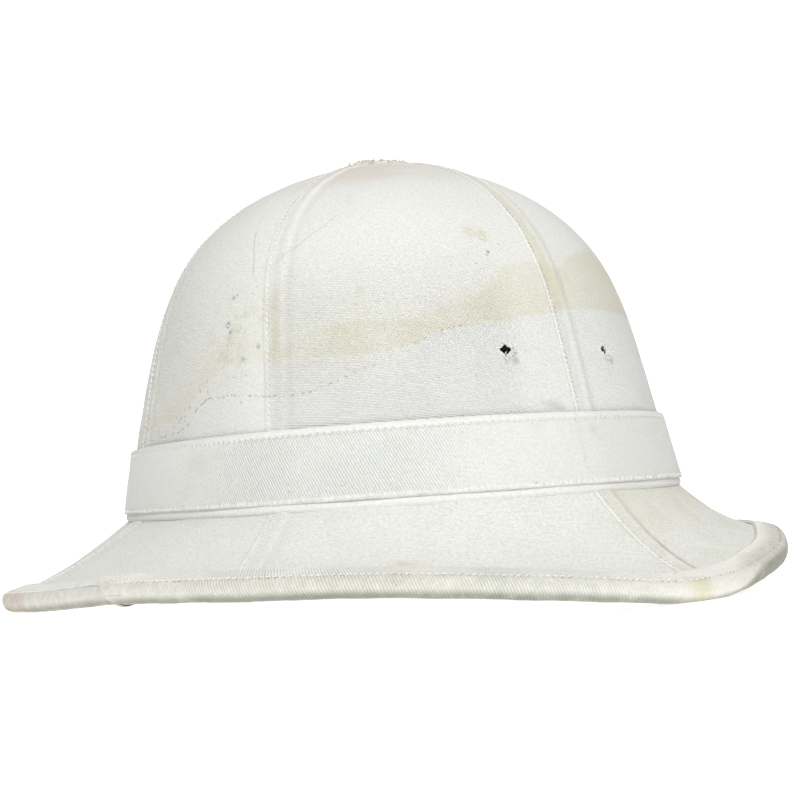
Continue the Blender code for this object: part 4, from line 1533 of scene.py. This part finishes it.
def fraying_tree():
    """Loose threads at points: a bent thread on each, turned and sized by chance."""
    threads = Threads("loose_threads_at_points", (
        ("Length", 0.0026), ("Thickness", 0.00022), ("Spread", 0.6)))
    given, node = threads.given, threads.node
    bow = node("GeometryNodeCurveQuadraticBezier", None, {
        "Resolution": 5, "Start": (0.0, 0.0, 0.0), "Middle": (0.25, 0.05, 0.55), "End": (-0.05, 0.25, 1.0)})
    size = threads.triple(given["Length"], given["Length"], given["Length"])
    sized = node("GeometryNodeTransform", None, {"Geometry": bow.outputs[0], "Scale": size})
    section = node("GeometryNodeCurvePrimitiveCircle", {"mode": "RADIUS"}, {
        "Resolution": 4, "Radius": threads.work_out("MULTIPLY", given["Thickness"], 0.5)})
    tube = node("GeometryNodeCurveToMesh", None, {
        "Curve": sized.outputs[0], "Profile Curve": section.outputs[0], "Fill Caps": True})
    aimed = node("FunctionNodeAlignRotationToVector", {"axis": "Z"}, {"Vector": threads.out_of_cloth()})
    wide = threads.triple(given["Spread"], given["Spread"], 3.14)
    tight = node("ShaderNodeVectorMath", {"operation": "SCALE"}, {0: wide, "Scale": -1.0})
    angles = node("FunctionNodeRandomValue", {"data_type": "FLOAT_VECTOR"}, {
        0: tight.outputs[0], 1: wide, "Seed": given["Seed"]})
    spin = node("FunctionNodeEulerToRotation", None, {0: angles.outputs[0]})
    return threads.finish(
        given["Geometry"], tube.outputs[0], threads.turned(aimed.outputs[0], spin.outputs[0]),
        threads.chance(0.35, 1.15))


def grown_piece(name, tree, paths, values, material, joined=True):
    """Runs a Geometry Nodes tree on paths of (points, directions out) and keeps the plain mesh."""
    points = np.vstack([path for path, _ in paths])
    outs = np.vstack([out for _, out in paths])
    edges, start = [], 0
    for path, _ in paths:
        if joined:
            edges += [(start + step, start + step + 1) for step in range(len(path) - 1)]
        start += len(path)
    mesh = bpy.data.meshes.new(name + "_paths")
    mesh.from_pydata(points.tolist(), edges, [])
    layer = mesh.attributes.new("out", "FLOAT_VECTOR", "POINT")
    layer.data.foreach_set("vector", outs.astype(np.float32).ravel())
    worker = bpy.data.objects.new(name + "_worker", mesh)
    modifier = worker.modifiers.new("Sewing", "NODES")
    modifier.node_group = tree
    for item in tree.interface.items_tree:
        if item.item_type == "SOCKET" and item.in_out == "INPUT" and item.name in values:
            modifier[item.identifier] = values[item.name]
    bpy.context.scene.collection.objects.link(worker)
    result = baked(worker)
    bpy.data.objects.remove(worker)
    result.name = name
    if not result.polygons:
        raise RuntimeError(f"{name} came out empty")
    return place_piece(name, result, material)


def seam_path(surface, number, shares, lift):
    """Path of the stitches that hold a seam, and its directions out of the cloth."""
    angles, length = row_places(surface, shares, SEAMS[number:number + 2])
    place = SEAM_STITCH_PLACE * MM * lap_squeeze(length[:, -1:])
    degrees = angle_at(angles, length, place)[:, 0]
    point, _, _, normal = frame_on(surface, degrees, shares)
    return point + normal * lift, normal


def ring_path(degrees, height, lift):
    """Path round the crown at a height over the neck in mm, with its directions out."""
    share = np.full_like(degrees, height * MM / CROWN_RISE)
    point, _, _, normal = frame_on(crown_surface, degrees, share)
    return point + normal * lift, normal


# Operators


class HELMET_OT_lining(bpy.types.Operator):
    """Make the shell of dome and brim with its plain lining"""

    bl_idname = "helmet.lining"
    bl_label = "Shell and lining"

    def execute(self, context):
        _, colours = settings_of(context)
        material = lining_cloth(colours)
        under_cloth = -(CLOTH + CLEARANCE)
        near_holes = [hole[1] % 360 + np.linspace(-3, 3, 15) for hole in BADGE_HOLES]
        degrees = np.unique(np.concatenate((np.linspace(0, 360, 181)[:-1], *near_holes)).round(3))
        hole_share = round(BADGE_HOLES[0][2] / CROWN_RISE, 3)
        shares = even_shares(crown_surface, 40.0, 0.0035)
        shares = finer_near_hole(shares, hole_share, SHELL_FINE_ROWS)
        angle, share = np.meshgrid(degrees, shares)
        point, _, _, normal = frame_on(crown_surface, angle, share)
        lift = under_cloth - np.maximum(share - 0.985, 0) * 0.03
        points = (point + normal * lift[..., None]).reshape(-1, 3)
        faces = grid_faces(*angle.shape, ring=True)
        for hole in BADGE_HOLES:
            points, faces = drilled(points, faces, hole)
        add_shell("crown_lining", points, faces, lining_map(angle, point, 0.10), material, "crown_shell")

        angle, share = np.meshgrid(np.linspace(0, 360, 241)[:-1], np.linspace(1, 0, 26))
        fan = np.interp(angle, [seam[0] for seam in SEAMS], [seam[1] for seam in SEAMS])
        angle = angle + (fan - angle) * share
        point, _, _, normal = frame_on(brim_surface, angle, share)
        points = (point + normal * under_cloth).reshape(-1, 3)
        faces = grid_faces(*angle.shape, ring=True)
        add_shell("brim_lining", points, faces, lining_map(angle, point, 0.12), material, "brim_shell")
        return {"FINISHED"}


def lining_map(angle, point, radius):
    """UV map of the lining: metres round the hat, at about its radius, and up it."""
    return {"cloth": np.stack((np.radians(angle) * radius, length_along(point)), -1).reshape(-1, 2)}


def drilled(points, faces, hole):
    """Opens a round hole through the dome."""
    centre, _, _, normal = hole_frame(hole)

    def away(places):
        offset = places - centre
        flat = offset - (offset @ normal)[:, None] * normal
        near = np.linalg.norm(offset, axis=-1) < HOLE_REACH
        return flat, np.where(near, np.linalg.norm(flat, axis=-1), 1.0)

    _, distance = away(points[faces].mean(axis=1))
    gone = distance < SHELL_HOLE
    edge = np.intersect1d(faces[gone], faces[~gone])
    flat, distance = away(points[edge])
    points = points.copy()
    points[edge] += flat * (SHELL_HOLE / distance - 1)[:, None]
    return points, faces[~gone]


def add_shell(name, points, faces, maps, material, node):
    """Adds a sheet given the thickness of the shell, inwards."""
    mesh = mesh_of(name, points, faces, maps)
    result = with_modifier(name + "_worker", mesh, "SOLIDIFY", {
        "thickness": SHELL, "offset": -1.0, "use_even_offset": True})
    result.name = name
    result.shade_smooth()
    result.set_sharp_from_angle(angle=math.radians(40))
    clean_loose(result)
    place_piece(name, result, material, [node])


def clean_loose(mesh):
    """Takes out points that no face uses."""
    body = bmesh.new()
    body.from_mesh(mesh)
    loose = [point for point in body.verts if not point.link_faces]
    bmesh.ops.delete(body, geom=loose, context="VERTS")
    body.to_mesh(mesh)
    body.free()


class HELMET_OT_crown_covers(bpy.types.Operator):
    """Make the six cloth covers of the crown, with their lapped seams and badge holes"""

    bl_idname = "helmet.crown_covers"
    bl_label = "Crown covers"

    def execute(self, context):
        sizes, colours = settings_of(context)
        make_covers("crown", crown_surface, CROWN_FINENESS, cover_cloth(sizes, colours), sizes)
        return {"FINISHED"}


class HELMET_OT_brim_covers(bpy.types.Operator):
    """Make the six cloth covers of the brim, with their lapped seams"""

    bl_idname = "helmet.brim_covers"
    bl_label = "Brim covers"

    def execute(self, context):
        sizes, colours = settings_of(context)
        make_covers("brim", brim_surface, BRIM_FINENESS, brim_cloth(sizes, colours), sizes)
        return {"FINISHED"}


class HELMET_OT_bands(bpy.types.Operator):
    """Make the hat band and the narrow strip that shows below it"""

    bl_idname = "helmet.bands"
    bl_label = "Hat band"

    def execute(self, context):
        sizes, colours = settings_of(context)
        material = band_twill(sizes, colours)
        stitched = [place for place, _ in BAND_STITCHES]
        make_strip("hat_band_cloth", BAND_SECTION, BAND_SPACING, BAND_JOIN, stitched,
                   sizes.seed + 5, sizes, material, "hat_band")
        make_strip("under_band_cloth", UNDER_BAND_SECTION, UNDER_BAND_SPACING, UNDER_BAND_JOIN, [],
                   sizes.seed + 7, sizes, material, "under_band")
        return {"FINISHED"}


class HELMET_OT_binding(bpy.types.Operator):
    """Make the twill binding folded over the brim's edge"""

    bl_idname = "helmet.binding"
    bl_label = "Brim binding"

    def execute(self, context):
        sizes, colours = settings_of(context)
        make_binding(sizes, binding_twill(sizes, colours))
        return {"FINISHED"}


class HELMET_OT_vent(bpy.types.Operator):
    """Make the raw, folded rim of cloth round the bare vent"""

    bl_idname = "helmet.vent"
    bl_label = "Vent rim"

    def execute(self, context):
        sizes, colours = settings_of(context)
        profile = smooth_profile(COLLAR_SECTION + COLLAR_SECTION[:1], COLLAR_STEP)[:-1]
        circle = around_vent(np.linspace(0, 2 * math.pi, 221)[:-1])
        rows, columns = len(profile), len(circle)
        radius, height = profile[:, 0:1] * MM, profile[:, 1:2] * MM
        points = VENT_CENTRE + circle[None] * np.broadcast_to(radius, (rows, columns))[..., None]
        ragged = uneven(circle * 0.013, sizes.seed + 20, 0.0015, 0.006, 20)
        tall = np.clip(profile[:, 1:2] / 1.6, 0, 1)
        points[..., 2] += height * (1 + 0.22 * ragged[None] * tall)
        points += circle[None] * (uneven(points, sizes.seed + 21, 0.002, 0.007)[..., None] * 0.00022)
        points[..., 2] += uneven(points, sizes.seed + 22, 0.0012, 0.004) * 0.00012 * tall
        faces = grid_faces(rows + 1, columns, ring=True) % (rows * columns)
        add_piece("vent_rim", points, faces[:, ::-1], {}, frayed_cotton(colours),
                  ["vent_collar"])
        return {"FINISHED"}


class HELMET_OT_stitching(bpy.types.Operator):
    """Sew the seams, the band and the binding"""

    bl_idname = "helmet.stitching"
    bl_label = "Stitching"

    def execute(self, context):
        sizes, colours = settings_of(context)
        tree = sewing_tree()
        thread = white_thread(colours)
        soiled = plain_cloth("soiled_thread", colours.soiled, colours.grey, 0.0012, 0.0001, 0.55)
        dark = plain_cloth("dark_thread", colours.grey, colours.brown, 0.0008, 0.0001, 0.90)

        def sew(name, paths, material, slant, size=1.0, pitch=sizes.stitch_pitch):
            values = {"Pitch": pitch, "Length": sizes.stitch_length * size,
                      "Thickness": sizes.thread_thickness * size, "Slant": slant,
                      "Unevenness": 0.12, "Seed": sizes.seed, "Thread": material}
            grown_piece(name, tree, paths, values, material)

        crown_shares = even_shares(crown_surface, 40.0, 0.001, 0.17, 0.975)
        brim_shares = np.linspace(0.06, 0.82, 60)
        rest = SEAM_THREAD_LIFT * MM
        low = rest - FRONT_THREAD_DROP * MM
        side = [seam_path(crown_surface, number, crown_shares, rest) for number in range(1, 6)]
        side += [seam_path(brim_surface, number, brim_shares, rest) for number in range(1, 6)]
        front = [seam_path(crown_surface, 0, crown_shares, low),
                 seam_path(brim_surface, 0, brim_shares, low)]
        sew("seam_stitches", side, thread, 0.34, 0.98, sizes.seam_pitch)
        sew("front_seam_stitches", front, soiled, 0.60, 0.66, sizes.seam_pitch * 0.80)
        degrees = BAND_JOIN + np.linspace(0, 360, 1400)
        foot, head = (ring_path(degrees, height, lift * MM) for height, lift in BAND_STITCHES)
        sew("band_stitches", [head], thread, -0.40, 0.66)
        sew("band_foot_stitches", [foot], thread, -1.15, 0.66, sizes.stitch_pitch * 0.74)
        degrees = BINDING_JOIN + np.linspace(2, 360, 1800)
        over, under = (np.broadcast_to(np.array(place), (len(degrees), 2)) for place in BINDING_STITCHES)
        point = binding_points(degrees, over)
        _, _, upward, normal = frame_on(brim_surface, degrees, 1.0)
        normal = unit(normal - upward * 0.4)
        clean = degrees % 360 > 180
        pale = [(point[clean], normal[clean]), (binding_points(degrees, under), -normal)]
        sew("binding_stitches", pale, thread, 0.35, 0.84, sizes.stitch_pitch * 0.86)
        sew("soiled_binding_stitches", [(point[~clean], normal[~clean])], dark,
            0.25, 0.42, sizes.stitch_pitch * 0.72)
        return {"FINISHED"}


class HELMET_OT_fraying(bpy.types.Operator):
    """Add the loose threads round the vent and the badge holes"""

    bl_idname = "helmet.fraying"
    bl_label = "Loose threads"

    def execute(self, context):
        sizes, colours = settings_of(context)
        tree = fraying_tree()
        pale, dirty = white_thread(colours), frayed_cotton(colours)
        draws = np.random.default_rng(sizes.seed + 30)
        turns = draws.uniform(0, 2 * math.pi, 230) + 0.10 * draws.normal(size=230)
        circle = around_vent(turns)
        radius = draws.uniform(0.0108, 0.0138, len(turns))
        points = VENT_CENTRE + circle * radius[:, None] + np.array((0, 0, 0.0012))
        aims = unit(np.cross(circle, (0, 0, 1)) * draws.choice((-1, 1), len(turns))[:, None]
                    + circle * draws.uniform(-0.6, 0.8, len(turns))[:, None]
                    + np.array((0, 0, 0.02)))
        values = {"Length": sizes.fray_length, "Thickness": 0.00050, "Spread": 0.8,
                  "Seed": sizes.seed, "Thread": dirty}
        grown_piece("vent_threads", tree, [(points, aims)], values, dirty, False)
        paths = []
        for hole in BADGE_HOLES:
            centre, around, upward, normal = hole_frame(hole)
            turns = np.concatenate((draws.uniform(-1.9, 0.3, 26), draws.uniform(0.3, 4.4, 12)))
            edge = hole_outline(turns, *hole[3:]) * draws.uniform(0.98, 1.35, len(turns))
            away = np.cos(turns)[:, None] * around + np.sin(turns)[:, None] * upward
            aims = unit(away * draws.uniform(-0.2, 1.0, len(turns))[:, None]
                        + normal * 0.20 + draws.normal(size=(len(turns), 3)) * 0.45)
            paths.append((centre + away * edge[:, None] + normal * 0.0001, aims))
        values = {"Length": 0.0017, "Thickness": 0.00042, "Spread": 0.5, "Seed": sizes.seed + 1,
                  "Thread": pale}
        grown_piece("badge_hole_threads", tree, paths, values, pale, False)
        return {"FINISHED"}


class HELMET_OT_studio(bpy.types.Operator):
    """Set up the glowing paper, the soft lights and the camera"""

    bl_idname = "helmet.studio"
    bl_label = "Studio"

    def execute(self, context):
        _, colours = settings_of(context)
        context.scene.view_settings.view_transform = "Standard"
        lay_paper(context.scene, colours)
        hang_lights(context.scene)
        set_camera(context.scene)
        return {"FINISHED"}


def lay_paper(scene, colours):
    """A sheet of glowing paper that runs from under the hat up a wall behind it."""
    bend = np.radians(np.linspace(0, 90, 13))
    curve = np.stack((
        PAPER_END - PAPER_BEND + PAPER_BEND * np.sin(bend), PAPER_BEND - PAPER_BEND * np.cos(bend)), -1)
    # Each row is (distance behind the hat, height)
    run = np.vstack((((PAPER_START, 0), (PAPER_FLAT_END, 0)), curve, ((PAPER_END, PAPER_HEIGHT),)))
    half = np.interp(run[:, 0], (0.0, 1.0), PAPER_HALF_WIDTHS)[:, None] * np.array((-1, 1))
    side = np.array((AWAY_FROM_CAMERA[1], -AWAY_FROM_CAMERA[0]))
    points = np.concatenate((
        run[:, None, :1] * AWAY_FROM_CAMERA + half[..., None] * side,
        np.broadcast_to(run[:, None, 1:] - PAPER_DROP, (len(run), 2, 1))), axis=-1).reshape(-1, 3)
    mesh = mesh_of("studio_floor", points, grid_faces(len(run), 2), {})
    mesh.shade_smooth()
    # The paper glows, and more under the hat, where little light gets in
    paper = Paint("studio_paper")
    away = paper.node("VectorMath", {"operation": "LENGTH"}, {0: paper.object_place()}, 1)
    for label, value in (
        ("Base Color", opaque(colours.floor)), ("Roughness", 0.95), ("Specular IOR Level", 0.0),
        ("Emission Color", away.between(*UNDER_REACH, UNDER_GLOW, PAPER_GLOW)), ("Emission Strength", 1.0),
    ):
        paper.join(value, paper.shader.inputs[label])
    mesh.materials.append(paper.material)
    floor = bpy.data.objects.new("studio_floor", mesh)
    scene.collection.objects.link(floor)


def hang_lights(scene):
    """An even white surrounding and the soft lights."""
    world = bpy.data.worlds.new("studio_light")
    world.use_nodes = True
    background = world.node_tree.nodes["Background"].inputs
    background["Color"].default_value = (1, 1, 1, 1)
    background["Strength"].default_value = SURROUNDING_LIGHT
    scene.world = world
    for label, place, target, size, power in SOFTBOXES:
        lamp = bpy.data.lights.new(label, "AREA")
        lamp.shape, lamp.size, lamp.energy = "DISK", size, power
        light = bpy.data.objects.new(label, lamp)
        light.location = place
        aim = Vector(target) - Vector(place)
        light.rotation_euler = aim.to_track_quat("-Z", "Y").to_euler()
        scene.collection.objects.link(light)


def set_camera(scene):
    """The camera, where the photo was taken from."""
    eye = bpy.data.cameras.new("camera")
    eye.sensor_width, eye.lens = CAMERA_SENSOR, CAMERA_LENS
    eye.clip_start, eye.clip_end = 0.01, 20.0
    camera = bpy.data.objects.new("camera", eye)
    right, up = Vector(CAMERA_RIGHT), Vector(CAMERA_UP)
    facing = Matrix((right, up, right.cross(up))).transposed().to_4x4()
    camera.matrix_world = Matrix.Translation(CAMERA_PLACE) @ facing
    scene.collection.objects.link(camera)
    scene.camera = camera


class HELMET_PT_pieces(bpy.types.Panel):
    """Lists the pieces of the helmet, and its sizes and colours"""

    bl_idname = "HELMET_PT_pieces"
    bl_label = "Pith Helmet"
    bl_space_type = "VIEW_3D"
    bl_region_type = "UI"
    bl_category = "Helmet"

    def draw(self, context):
        column = self.layout.column()
        for made in OPERATORS:
            column.operator(made.bl_idname)
        for group in settings_of(context):
            for name in group.bl_rna.properties.keys():
                if name not in ("rna_type", "name"):
                    column.prop(group, name)


OPERATORS = (
    HELMET_OT_lining,
    HELMET_OT_crown_covers,
    HELMET_OT_brim_covers,
    HELMET_OT_bands,
    HELMET_OT_binding,
    HELMET_OT_vent,
    HELMET_OT_stitching,
    HELMET_OT_fraying,
    HELMET_OT_studio,
)
CLASSES = (HelmetSizes, HelmetColours, *OPERATORS, HELMET_PT_pieces)


def register():
    for item in CLASSES:
        bpy.utils.register_class(item)
    bpy.types.Scene.helmet_sizes = PointerProperty(type=HelmetSizes)
    bpy.types.Scene.helmet_colours = PointerProperty(type=HelmetColours)


def unregister():
    del bpy.types.Scene.helmet_colours
    del bpy.types.Scene.helmet_sizes
    for item in reversed(CLASSES):
        bpy.utils.unregister_class(item)


def main():
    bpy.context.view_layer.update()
    register()
    for made in OPERATORS:
        category, name = made.bl_idname.split(".")
        getattr(getattr(bpy.ops, category), name)()


if __name__ == "__main__":
    main()
